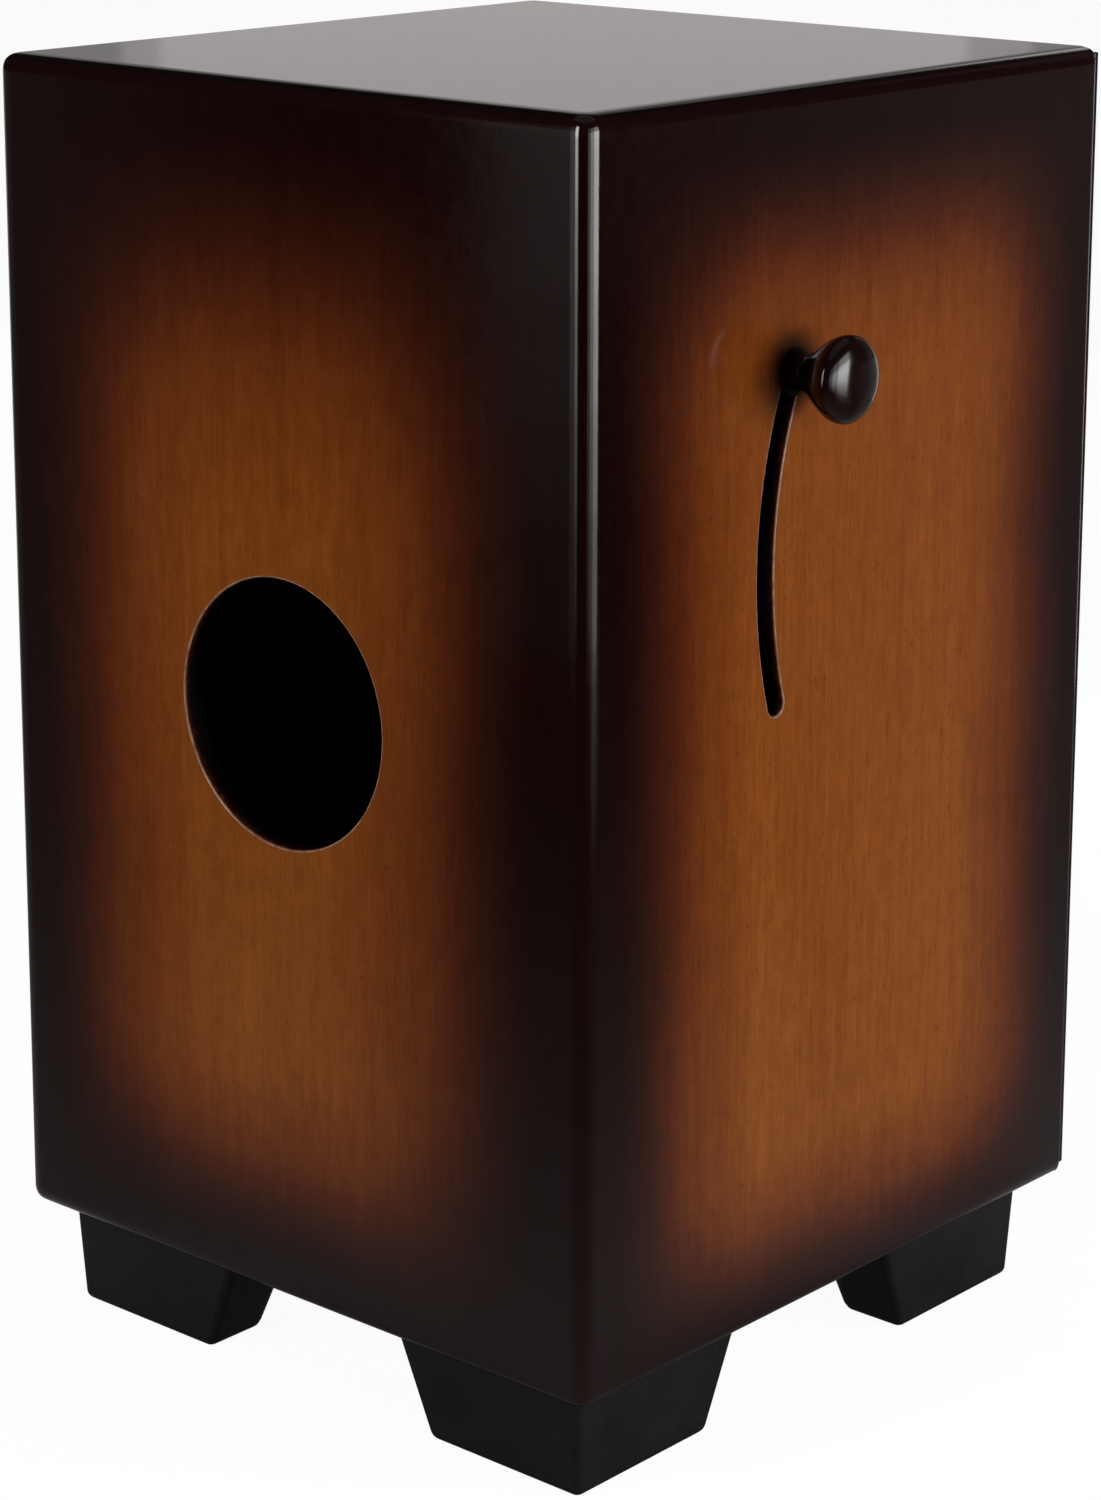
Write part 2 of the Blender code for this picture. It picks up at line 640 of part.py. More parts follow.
SUNBURST = material("sunburst_lacquer", (0.21, 0.06, 0.012), 0.35)
TAPA_LACQUER = material("tapa_lacquer", (0.24, 0.07, 0.014), 0.35)
KNOB_LACQUER = material("knob_lacquer", (0.012, 0.005, 0.004), 0.15)
RAW_WOOD = material("raw_wood", (0.55, 0.38, 0.20), 0.70)
RUBBER = material("foot_rubber", (0.011, 0.012, 0.011), 0.75)
ZINC_STEEL = material("zinc_steel", (0.60, 0.60, 0.62), 0.35, 1.0)
SNARE_STEEL = material("snare_steel", (0.72, 0.72, 0.74), 0.25, 1.0)
BLACK_STEEL = material("black_steel", (0.02, 0.02, 0.02), 0.45, 0.8)
NYLON = material("nylon", (0.02, 0.02, 0.02), 0.55)

PANELS = make_panels(SUNBURST)
cut_sound_hole(PANELS["rear_panel"])
cut_lever_slot(PANELS["lever_side_panel"])
make_tapa(PANELS, TAPA_LACQUER, BLACK_STEEL)
make_feet(PANELS["bottom_panel"], RUBBER, ZINC_STEEL)
make_mechanism(PANELS, RAW_WOOD, ZINC_STEEL, SNARE_STEEL, BLACK_STEEL, KNOB_LACQUER, NYLON)
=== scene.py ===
"""Looks of a cajon with a side snare lever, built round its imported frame.

Metres, +Z up, on the frame's own axes. The playing plate (tapa) faces -Y, the sound hole
faces +Y, and the lever's knob stands out of the side that faces -X. Each piece's mesh is
in world coordinates, so a material's object coordinates are places on the cajon.
"""

import json
import math
import random

import bmesh
import bpy
from mathutils import Matrix, Vector


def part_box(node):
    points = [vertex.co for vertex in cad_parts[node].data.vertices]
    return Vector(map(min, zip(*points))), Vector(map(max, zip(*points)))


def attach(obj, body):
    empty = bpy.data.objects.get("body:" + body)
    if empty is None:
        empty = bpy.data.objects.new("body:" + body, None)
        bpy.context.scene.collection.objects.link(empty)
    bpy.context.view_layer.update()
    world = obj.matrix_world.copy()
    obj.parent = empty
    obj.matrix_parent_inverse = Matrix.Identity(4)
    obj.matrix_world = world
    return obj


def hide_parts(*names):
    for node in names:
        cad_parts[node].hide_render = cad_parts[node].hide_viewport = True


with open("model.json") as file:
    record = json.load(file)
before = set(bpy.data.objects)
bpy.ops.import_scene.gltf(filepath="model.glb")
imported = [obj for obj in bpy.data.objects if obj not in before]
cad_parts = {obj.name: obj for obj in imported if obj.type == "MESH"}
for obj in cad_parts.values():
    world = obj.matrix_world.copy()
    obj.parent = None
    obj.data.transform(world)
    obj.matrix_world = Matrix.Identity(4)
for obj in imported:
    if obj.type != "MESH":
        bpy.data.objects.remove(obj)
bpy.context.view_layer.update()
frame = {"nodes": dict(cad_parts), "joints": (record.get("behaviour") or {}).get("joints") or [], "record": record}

# --- places and sizes that the frame gives ---

HINGE = frame["joints"][0]
SIDE_LOW, SIDE_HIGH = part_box("lever_side_panel")
REAR_LOW, REAR_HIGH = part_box("rear_panel")
TAPA_LOW, TAPA_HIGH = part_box("tapa")
KNOB_LOW, KNOB_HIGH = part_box("knob")

X_LEVER = SIDE_LOW.x
X_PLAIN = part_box("plain_side_panel")[1].x
Y_FRONT = SIDE_LOW.y
Y_REAR = REAR_HIGH.y
Z_BOTTOM = REAR_LOW.z
Z_TOP = REAR_HIGH.z
PANEL_THICKNESS = SIDE_HIGH.x - SIDE_LOW.x
REAR_THICKNESS = REAR_HIGH.y - REAR_LOW.y

PIVOT = Vector(HINGE["pos_m"])
KNOB_AXIS = (KNOB_LOW + KNOB_HIGH) / 2
LEVER_RADIUS = math.hypot(KNOB_AXIS.y - PIVOT.y, KNOB_AXIS.z - PIVOT.z)
LEVER_REST = math.atan2(KNOB_AXIS.z - PIVOT.z, KNOB_AXIS.y - PIVOT.y)
LEVER_TRAVEL = math.radians(HINGE["range_deg"][1] - HINGE["range_deg"][0])

HOLE = next(o for o in frame["record"]["physics"]["openings"] if o["name"] == "sound_hole")
HOLE_MIDDLE = (Vector(HOLE["box_m"][0]) + Vector(HOLE["box_m"][1])) / 2

# --- sizes of the details ---

# EDGE_PROFILE is the bevel's fullness: 0.5 is a plain arc.
EDGE_ROUND = 0.0078
EDGE_PROFILE = 0.60
FRONT_EDGE_ROUND = 0.0025
TAPA_EDGE_ROUND = 0.0005
HOLE_RADIUS = 0.0500
SLOT_WIDTH = 0.0088
SLOT_END_ROOM = math.radians(0.3)
RIM_ROUND = 0.0006

FOOT_REACH = {"top": 0.1035, "bottom": 0.0869}
FOOT_INSET = {"top": 0.0123, "bottom": 0.0145}
FOOT_END_WIDTH = {"top": 0.0336, "bottom": 0.0261}
FOOT_ROUND = 0.0035
FOOT_WELL_RADIUS = 0.0090

ARM_WIDTH = 0.0220
ARM_NOSE = 0.0160
WOOD_EASE = 0.0012
BOLT_CLEAR = 0.0033
PIN_CLEAR = 0.0043

# Heights are from the panel's face. KNOB_FULLNESS under 1 makes the dome fuller than a ball.
KNOB_BASE = 0.0016
KNOB_NECK_RADIUS = 0.0070
KNOB_NECK_LENGTH = 0.0034
KNOB_WAIST = 0.0227
KNOB_RADIUS = 0.0156
KNOB_FULLNESS = 0.84
KNOB_BORE = 0.0153

SNARE_STRANDS = 10
STRAND_PITCH = 0.0040
STRAND_RADIUS = 0.0008
STRAND_LENGTH = 0.1340
STRAND_TURNS = 70
WIRE_RADIUS = 0.00022
SNARE_LEAN = math.radians(1.1)
PLATE_SIZE = Vector((0.0420, 0.0012, 0.0120))
TIP_SIZE = Vector((0.0420, 0.0020, 0.0070))

# Screws: (head radius, head depth, shank radius, length, whether it is countersunk)
TAPA_SCREW = (0.0034, 0.0022, 0.0015, 0.0200, True)
BLOCK_SCREW = (0.0036, 0.0024, 0.0017, 0.0200, True)
ARM_SCREW = (0.0034, 0.0022, 0.0015, 0.0240, True)
SNARE_SCREW = (0.0028, 0.0014, 0.0014, 0.0120, False)
FOOT_SCREW = (0.0045, 0.0028, 0.0022, 0.0240, False)

FORWARD = (0, -1, 0)
# The direction along X that each side's inner face looks in.
SIDES = {"lever_side": 1, "plain_side": -1}

random.seed(11)


# --- mesh helpers ---


def shown(name, data):
    """Puts a new object made of a mesh, curve, light or camera into the scene."""
    made = bpy.data.objects.new(name, data)
    bpy.context.scene.collection.objects.link(made)
    return made


def mesh_object(name, shape, *finishes):
    """Turns a bmesh into an object with the given materials."""
    bmesh.ops.recalc_face_normals(shape, faces=shape.faces)
    mesh = bpy.data.meshes.new(name)
    shape.to_mesh(mesh)
    shape.free()
    for finish in finishes:
        mesh.materials.append(finish)
    return shown(name, mesh)


def box_shape(low, high, ease=0.0, segments=4):
    """A box between two corners, with all its edges rounded by ease."""
    shape = bmesh.new()
    low, high = Vector(low), Vector(high)
    bmesh.ops.create_cube(shape, size=1.0)
    bmesh.ops.scale(shape, vec=high - low, verts=shape.verts)
    bmesh.ops.translate(shape, vec=(high + low) / 2, verts=shape.verts)
    if ease:
        bmesh.ops.bevel(
            shape, geom=shape.edges[:], offset=ease, segments=segments, profile=0.5, affect="EDGES"
        )
    return shape


def loft_shape(rings, bands=None):
    """A skin through rings of equally many points, capped at both ends. Bands are materials."""
    shape = bmesh.new()
    made = [[shape.verts.new(point) for point in ring] for ring in rings]
    for number, (low, high) in enumerate(zip(made, made[1:])):
        for i in range(len(low)):
            after = (i + 1) % len(low)
            face = shape.faces.new((low[i], low[after], high[after], high[i]))
            face.material_index = bands[number] if bands else 0
    shape.faces.new(made[0])
    shape.faces.new(made[-1])
    return shape


def aimed(place, direction):
    """The matrix that takes the Z axis to a place and turns it to a direction."""
    turn = Vector(direction).to_track_quat("Z", "Y").to_matrix().to_4x4()
    return Matrix.Translation(place) @ turn


def turned_shape(profile, place, direction, sides):
    """Turns a (radius, height) outline about an axis through place."""
    shape = bmesh.new()
    points = [shape.verts.new((radius, 0.0, height)) for radius, height in profile]
    edges = [shape.edges.new(pair) for pair in zip(points, points[1:])]
    bmesh.ops.spin(
        shape, geom=points + edges, cent=(0, 0, 0), axis=(0, 0, 1), angle=math.tau, steps=sides
    )
    bmesh.ops.remove_doubles(shape, verts=shape.verts, dist=0.000002)
    bmesh.ops.transform(shape, matrix=aimed(place, direction), verts=shape.verts)
    return shape


def final_mesh(piece):
    """A mesh of the piece as its modifiers or its curve's settings leave it."""
    bpy.context.view_layer.update()
    graph = bpy.context.evaluated_depsgraph_get()
    return bpy.data.meshes.new_from_object(piece.evaluated_get(graph))


def settle(piece):
    """Applies the piece's modifiers."""
    mesh = final_mesh(piece)
    piece.modifiers.clear()
    piece.data = mesh


def round_edges(piece, width, segments, **settings):
    """Rounds the piece's edges with a bevel, and applies it."""
    bevel = piece.modifiers.new("round", "BEVEL")
    bevel.width = width
    bevel.segments = segments
    for name, value in settings.items():
        setattr(bevel, name, value)
    settle(piece)


def carve(piece, cutter, operation="DIFFERENCE", keep=False):
    """Cuts the piece with the cutter, whose materials go onto the new faces."""
    boolean = piece.modifiers.new("carve", "BOOLEAN")
    boolean.operation = operation
    boolean.object = cutter
    boolean.material_mode = "TRANSFER"
    settle(piece)
    if not keep:
        bpy.data.objects.remove(cutter)


def plain_rod(radius, top, bottom=0.0):
    """A cylinder's outline, as (radius, height)."""
    return [(0.0, top), (radius, top), (radius, bottom), (0.0, bottom)]


def hollow(piece, profile, place, direction, sides, finish):
    """Cuts a turned hollow into the piece."""
    carve(piece, mesh_object("hollow", turned_shape(profile, place, direction, sides), finish))


def smooth(piece, angle=40):
    """Shades the piece smooth between its sharp edges, and keeps its flat faces flat."""
    piece.data.shade_smooth()
    piece.data.set_sharp_from_angle(angle=math.radians(angle))
    weighted = piece.modifiers.new("weighted", "WEIGHTED_NORMAL")
    weighted.keep_sharp = True


def place_piece(piece, body, slot, *nodes):
    """Hangs a finished piece on its body and hides the CAD nodes it stands for. The slot is not used."""
    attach(piece, body)
    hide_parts(*nodes)


def rim_steps(thickness, round_by):
    """(widening, depth, band) down a cut through a board, with both its rims rounded.

    Band 0 is the wall and band 1 the outer rim; a step's band lies between it and the next.
    """
    over, lift = round_by * 1.5, round_by * 0.03
    turns = [math.radians(angle) for angle in (14, 30, 46, 62, 76, 90)]
    rim = [(round_by * (1 - math.sin(t)), round_by * (1 - math.cos(t)), 1) for t in turns]
    upper = [(over, -0.002, 0), (over, -lift, 1)] + rim
    upper[-1] = (*upper[-1][:2], 0)
    lower = [(widening, thickness - depth, 0) for widening, depth, _ in reversed(upper)]
    return upper + lower


# --- material helpers ---


def new_material(name, roughness, metallic=0.0, specular=0.5):
    """Returns a new material, its node tree and the place on the cajon."""
    made = bpy.data.materials.new(name)
    made.use_nodes = True
    tree = made.node_tree
    shader = tree.nodes["Principled BSDF"]
    shader.inputs["Roughness"].default_value = roughness
    shader.inputs["Metallic"].default_value = metallic
    shader.inputs["Specular IOR Level"].default_value = specular
    return made, tree, object_place(tree)


def add(tree, kind, inputs=None, **settings):
    """Adds a shader node. An input is a plain value or another node's output."""
    made = tree.nodes.new("ShaderNode" + kind)
    for name, value in settings.items():
        setattr(made, name, value)
    for key, value in (inputs or {}).items():
        if isinstance(value, bpy.types.NodeSocket):
            tree.links.new(value, made.inputs[key])
        else:
            made.inputs[key].default_value = value
    return made


def maths(tree, operation, first, second):
    """The result of a calculation on two values."""
    return add(tree, "Math", {0: first, 1: second}, operation=operation).outputs[0]


def ranged(tree, value, start, end, low=0.0, high=1.0, kind="LINEAR"):
    """A value mapped from start..end to low..high, and kept inside them."""
    inputs = {"Value": value, "From Min": start, "From Max": end, "To Min": low, "To Max": high}
    return add(tree, "MapRange", inputs, interpolation_type=kind).outputs["Result"]


def mixed(tree, factor, first, second, blend="MIX"):
    """Two colours mixed by a factor."""
    inputs = {0: factor, 6: first, 7: second}
    return add(tree, "Mix", inputs, data_type="RGBA", blend_type=blend).outputs[2]


def noise(tree, position, scale, stretch=(1, 1, 1), detail=2.0):
    """Noise with features 1/scale metres across, divided by stretch along each axis."""
    squeezed = add(tree, "Mapping", {"Vector": position, "Scale": stretch}, vector_type="POINT")
    inputs = {"Vector": squeezed.outputs[0], "Scale": scale, "Detail": detail}
    return add(tree, "TexNoise", inputs).outputs["Fac"]


def finished(made, colour, bump, roughness=None):
    """Gives a material its colour, its bump as (height, strength, distance) and a roughness."""
    tree = made.node_tree
    shader = tree.nodes["Principled BSDF"]
    raised = add(tree, "Bump", dict(zip(("Height", "Strength", "Distance"), bump)))
    tree.links.new(raised.outputs[0], shader.inputs["Normal"])
    tree.links.new(colour, shader.inputs["Base Color"])
    if roughness:
        tree.links.new(roughness, shader.inputs["Roughness"])
    return made


def ramp(tree, value, stops):
    """A colour ramp through (position, colour) stops."""
    made = add(tree, "ValToRGB", {0: value})
    elements = made.color_ramp.elements
    while len(elements) < len(stops):
        elements.new(0.5)
    for element, (position, colour) in zip(elements, stops):
        element.position = position
        element.color = (*colour, 1.0)
    return made.outputs["Color"]


def object_place(tree):
    """The place on the cajon, in metres."""
    return add(tree, "TexCoord").outputs["Object"]


def distance_to(tree, place, point):
    """The distance from a point, in metres."""
    return add(tree, "VectorMath", {0: place, 1: point}, operation="DISTANCE").outputs["Value"]


def along_grain(axis, squeeze):
    """The stretch that draws noise out along one axis."""
    return tuple(squeeze if letter == axis else 1.0 for letter in "XYZ")


# --- materials ---

# Noise lies mostly between 0.3 and 0.7, so the ramps and ranges here start and end near those.

# Where each face's sprayed border starts and ends its fade to amber, as distances in from the
# face's low edge and from its high edge: across the face, then up it.
SIDE_FADE = ("Y", (0.006, 0.088), (0.014, 0.101), "Z", (0.000, 0.072), (0.014, 0.112))
LEVEL_FADE = ("X", (0.030, 0.130), (0.030, 0.130), "Y", (0.030, 0.130), (0.030, 0.130))
FADES = {
    "lever_side": SIDE_FADE,
    "plain_side": SIDE_FADE,
    "rear": ("X", (0.020, 0.130), (0.012, 0.113), "Z", (0.012, 0.098), (0.013, 0.170)),
    "front": ("X", (0.022, 0.100), (0.022, 0.100), "Z", (0.020, 0.100), (0.030, 0.110)),
    "top": LEVEL_FADE,
    "bottom": LEVEL_FADE,
}
FADE_WANDER = 0.002
EDGES = {"X": (X_LEVER, X_PLAIN), "Y": (Y_FRONT, Y_REAR), "Z": (Z_BOTTOM, Z_TOP)}

SUNBURST_STOPS = (
    (0.00, (0.0135, 0.0026, 0.0024)),
    (0.15, (0.056, 0.0115, 0.0045)),
    (0.33, (0.127, 0.0265, 0.0073)),
    (0.50, (0.205, 0.049, 0.0092)),
    (0.84, (0.310, 0.082, 0.0132)),
    (1.00, (0.382, 0.112, 0.0165)),
)
TOP_STOPS = (
    (0.00, (0.0060, 0.0017, 0.0015)),
    (0.50, (0.0300, 0.0060, 0.0040)),
    (1.00, (0.0750, 0.0140, 0.0080)),
)


def fade_mask(tree, place, fades):
    """0 in the dark border of a face and 1 in its middle. Upright faces are painted paler lower down and darker
    near the top, as painted light.
    """
    wander = noise(tree, place, 14.0)
    shift = ranged(tree, wander, 0.3, 0.7, -FADE_WANDER, FADE_WANDER)
    parts = add(tree, "SeparateXYZ", {0: place}).outputs
    mask = None
    for axis, low_fade, high_fade in (fades[:3], fades[3:]):
        low, high = EDGES[axis]
        where = maths(tree, "ADD", parts[axis], shift)
        inward = ranged(tree, where, low + low_fade[0], low + low_fade[1], kind="SMOOTHSTEP")
        outward = ranged(tree, where, high - high_fade[0], high - high_fade[1], kind="SMOOTHSTEP")
        both = maths(tree, "MULTIPLY", inward, outward)
        mask = both if mask is None else maths(tree, "MULTIPLY", mask, both)
    # Painted light: the amber fades a little towards the top of upright faces.
    if fades[3] == "Z":
        painted_light_lower = ranged(tree, parts["Z"], Z_TOP - 0.050, Z_TOP - 0.350, 0.85, 1.0)
        mask = maths(tree, "MULTIPLY", mask, painted_light_lower)
    return mask


def veneer_tint(tree, place, axis):
    """A grey-brown tint of the veneer's figure, and the height of its fine grain."""
    fine = noise(tree, place, 1000.0, along_grain(axis, 0.05), detail=3.0)
    streaks = noise(tree, place, 260.0, along_grain(axis, 0.06))
    bands = noise(tree, place, 48.0, along_grain(axis, 0.14))
    mottle = noise(tree, place, 170.0, along_grain(axis, 0.6), detail=5.0)
    pores = noise(tree, place, 1000.0, along_grain(axis, 0.30), detail=1.0)
    tint = ramp(tree, ranged(tree, bands, 0.32, 0.68), ((0, (0.90, 0.86, 0.84)), (1, (1, 1, 1))))
    layers = (
        (streaks, (0.89, 0.88, 0.89)),
        (fine, (0.84, 0.82, 0.83)),
        (mottle, (0.86, 0.84, 0.84)),
    )
    for value, dark in layers:
        layer = ramp(tree, ranged(tree, value, 0.32, 0.68), ((0, dark), (1, (1, 1, 1))))
        tint = mixed(tree, 1.0, tint, layer, "MULTIPLY")
    specks = ranged(tree, pores, 0.64, 0.75, 0.0, 0.46)
    return mixed(tree, specks, tint, (0.34, 0.27, 0.25, 1.0)), fine


def knob_painted_shadow(tree, place):
    """A soft dark ring round the knob's place of rest: a painted shadow of the knob, fixed in the lacquer."""
    offset = distance_to(tree, place, (X_LEVER, KNOB_AXIS.y, KNOB_AXIS.z))
    return ranged(tree, offset, 0.006, 0.018, 0.80, 0.0, "SMOOTHSTEP")


def sunburst(face, stops, grain_axis):
    """Lacquered veneer, amber in the middle of one face and sprayed dark round its border."""
    made, tree, place = new_material("sunburst_" + face, 0.12)
    colour = ramp(tree, fade_mask(tree, place, FADES[face]), stops)
    tint, fine = veneer_tint(tree, place, grain_axis)
    shade = mixed(tree, 1.0, colour, tint, "MULTIPLY")
    if face == "lever_side":
        # Painted shadow of the knob: the lever side darkens round the knob's place of rest.
        shade = mixed(tree, knob_painted_shadow(tree, place), shade, (0.0020, 0.0008, 0.0007, 1.0))
    peel = noise(tree, place, 170.0, detail=1.0)
    gloss = ranged(tree, peel, 0.3, 0.7, 0.09, 0.12)
    height = maths(tree, "ADD", peel, maths(tree, "MULTIPLY", fine, 0.12))
    return finished(made, shade, (height, 0.04, 0.0004), gloss)


def mottled(name, roughness, specular, stops, bump, scale, stretch=(1, 1, 1), detail=3.0):
    """A material that one noise colours and raises. bump is (strength, distance)."""
    made, tree, place = new_material(name, roughness, specular=specular)
    mottle = noise(tree, place, scale, stretch, detail)
    return finished(made, ramp(tree, mottle, stops), (mottle, *bump))


def worn_rim_and_painted_sheen():
    """The rims of the slot and the hole, where the lacquer is thin over pale wood, painted paler still as a
    painted highlight of the light they catch.
    """
    stops = ((0.35, (0.24, 0.105, 0.058)), (0.65, (0.46, 0.255, 0.165)))
    return mottled("worn_rim_and_painted_sheen", 0.30, 0.5, stops, (0.10, 0.0002), 300.0)


def edge_stain_and_painted_shade():
    """A cut edge: reddish stain at the outer face, with painted shade that darkens it to black further in."""
    made, tree, place = new_material("edge_stain_and_painted_shade", 0.42, specular=0.25)
    parts = add(tree, "SeparateXYZ", {0: place}).outputs
    from_rear = maths(tree, "SUBTRACT", Y_REAR, parts["Y"])
    from_side = maths(tree, "SUBTRACT", parts["X"], X_LEVER)
    depth = maths(tree, "MINIMUM", from_rear, from_side)
    ply = noise(tree, place, 420.0, (2.0, 2.0, 1.0))
    ragged = maths(tree, "ADD", depth, ranged(tree, ply, 0.3, 0.7, -0.0010, 0.0010))
    stops = (
        (0.00, (0.3000, 0.0800, 0.0300)),
        (0.16, (0.0900, 0.0220, 0.0100)),
        (0.45, (0.0120, 0.0034, 0.0022)),
        (1.00, (0.0020, 0.0012, 0.0010)),
    )
    # Painted shade: the edge darkens to black with its depth in from the nearer of the rear face and the lever
    # side.
    shade = ramp(tree, ranged(tree, ragged, 0.0003, 0.0065), stops)
    return finished(made, shade, (ply, 0.10, 0.0002))


def near_black_inside():
    """Near-black on the inner faces, matt, with the grain just showing."""
    stops = ((0.35, (0.0030, 0.0020, 0.0016)), (0.70, (0.0085, 0.0052, 0.0038)))
    upright = along_grain("Z", 0.02)
    return mottled("near_black_inside", 0.70, 0.2, stops, (0.25, 0.0003), 700.0, upright, 4.0)


def knob_gloss():
    """Gloss lacquer on turned wood, nearly black with a burgundy cast."""
    made, tree, place = new_material("knob_gloss", 0.09)
    cloud = noise(tree, place, 90.0, detail=3.0)
    shade = ramp(tree, cloud, ((0.35, (0.0066, 0.0016, 0.0015)), (0.65, (0.0130, 0.0028, 0.0025))))
    turning = noise(tree, place, 900.0, (1.0, 0.1, 0.1))
    gloss = ranged(tree, turning, 0.3, 0.7, 0.12, 0.17)
    return finished(made, shade, (turning, 0.03, 0.0002), gloss)


def bare_wood(name, axis):
    """Unfinished beech with its grain along one axis, and short darker flecks."""
    made, tree, place = new_material(name, 0.62)
    rings = noise(tree, place, 150.0, along_grain(axis, 0.05), detail=3.0)
    fibre = noise(tree, place, 1500.0, along_grain(axis, 0.03))
    flecks = noise(tree, place, 1100.0, along_grain(axis, 0.25), detail=0.0)
    stops = ((0.30, (0.36, 0.215, 0.105)), (0.52, (0.50, 0.33, 0.18)), (0.72, (0.58, 0.41, 0.24)))
    shade = ramp(tree, rings, stops)
    grain = ramp(tree, fibre, ((0.3, (0.80, 0.77, 0.73)), (0.7, (1, 1, 1))))
    shade = mixed(tree, 1.0, shade, grain, "MULTIPLY")
    shade = mixed(tree, ranged(tree, flecks, 0.62, 0.72, 0.0, 0.5), shade, (0.22, 0.11, 0.05, 1))
    gloss = ranged(tree, fibre, 0.3, 0.7, 0.55, 0.70)
    return finished(made, shade, (fibre, 0.25, 0.0003), gloss)


def foot_rubber():
    """Black moulded rubber with a fine stippled skin and a little dust."""
    made, tree, place = new_material("moulded_rubber", 0.55, specular=0.30)
    stipple = noise(tree, place, 1800.0)
    cloud = noise(tree, place, 45.0, detail=4.0)
    shade = ramp(tree, cloud, ((0.35, (0.0040, 0.0046, 0.0043)), (0.70, (0.0070, 0.0079, 0.0075))))
    dust = ranged(tree, noise(tree, place, 420.0, detail=3.0), 0.60, 0.75, 0.0, 0.14)
    shade = mixed(tree, dust, shade, (0.045, 0.045, 0.042, 1.0))
    gloss = ranged(tree, cloud, 0.3, 0.7, 0.46, 0.60)
    return finished(made, shade, (stipple, 0.22, 0.0002), gloss)


def metal(name, dark, light, roughness, streak_axis):
    """Metal with drawn or machined lines along one axis and a patchy plating."""
    made, tree, place = new_material(name, roughness, 1.0)
    lines = noise(tree, place, 2600.0, along_grain(streak_axis, 0.05))
    patches = noise(tree, place, 260.0, detail=4.0)
    shade = ramp(tree, patches, ((0.32, dark), (0.68, light)))
    gloss = ranged(tree, lines, 0.3, 0.7, roughness - 0.07, roughness + 0.10)
    return finished(made, shade, (lines, 0.12, 0.0001), gloss)


def nylon():
    """Off-black nylon, faintly mottled from the mould."""
    stops = ((0.35, (0.0022, 0.0021, 0.0021)), (0.70, (0.0050, 0.0048, 0.0048)))
    return mottled("moulded_nylon", 0.50, 0.15, stops, (0.12, 0.0001), 700.0)


# --- cabinet ---

FACES = ("lever_side", "plain_side", "front", "rear", "bottom", "top")


def facing(normal):
    """The number in FACES of the face that a normal points out of most."""
    axis = max(range(3), key=lambda i: abs(normal[i]))
    return axis * 2 + (normal[axis] > 0)


def make_body_block(finishes):
    """The cabinet's whole outer shape, rounded, with each face's own material."""
    shape = box_shape((X_LEVER, Y_FRONT, Z_BOTTOM), (X_PLAIN, Y_REAR, Z_TOP))
    weight = shape.edges.layers.float.new("bevel_weight_edge")
    for edge in shape.edges:
        in_front = all(abs(vertex.co.y - Y_FRONT) < 1e-6 for vertex in edge.verts)
        edge[weight] = FRONT_EDGE_ROUND / EDGE_ROUND if in_front else 1.0
    block = mesh_object("body_block", shape, *[finishes[face] for face in FACES])
    round_edges(block, EDGE_ROUND, 12, limit_method="WEIGHT", profile=EDGE_PROFILE)
    for polygon in block.data.polygons:
        polygon.material_index = facing(polygon.normal)
    return block


def arc(centre, radius, start, end, steps):
    """Points of an arc in the plane of two axes. On a side these are (y, z)."""
    first, second = centre
    angles = [start + (end - start) * i / steps for i in range(steps + 1)]
    return [(first + radius * math.cos(a), second + radius * math.sin(a)) for a in angles]


def hole_ring(widening, depth):
    """Points round the sound hole, widened, at a depth behind the rear face."""
    circle = arc((HOLE_MIDDLE.x, HOLE_MIDDLE.z), HOLE_RADIUS + widening, 0.0, math.tau, 128)
    return [(x, Y_REAR - depth, z) for x, z in circle[:-1]]


def on_lever(distance, angle=LEVER_REST):
    """The (y, z) point at a distance from the pivot along the lever."""
    return PIVOT.y + distance * math.cos(angle), PIVOT.z + distance * math.sin(angle)


def slot_ring(widening, depth):
    """Points round the curved slot, widened all round, at a depth behind the lever side."""
    half = SLOT_WIDTH / 2 + widening
    high = LEVER_REST + SLOT_END_ROOM
    low = LEVER_REST - LEVER_TRAVEL - SLOT_END_ROOM
    pivot = (PIVOT.y, PIVOT.z)
    outline = arc(pivot, LEVER_RADIUS + half, low, high, 48)
    outline += arc(on_lever(LEVER_RADIUS, high), half, high, high + math.pi, 16)[1:]
    outline += arc(pivot, LEVER_RADIUS - half, high, low, 48)[1:]
    outline += arc(on_lever(LEVER_RADIUS, low), half, low + math.pi, low + math.tau, 16)[1:-1]
    return [(X_LEVER + depth, y, z) for y, z in outline]


def cut_rounded(board, thickness, ring, finishes):
    """Cuts an opening with rounded rims through a board. ring makes its outline at a depth."""
    steps = rim_steps(thickness, RIM_ROUND)
    rings = [ring(widening, depth) for widening, depth, _ in steps]
    bands = [band for _, _, band in steps[:-1]]
    cutter = mesh_object("opening", loft_shape(rings, bands), *finishes)
    carve(board, cutter)


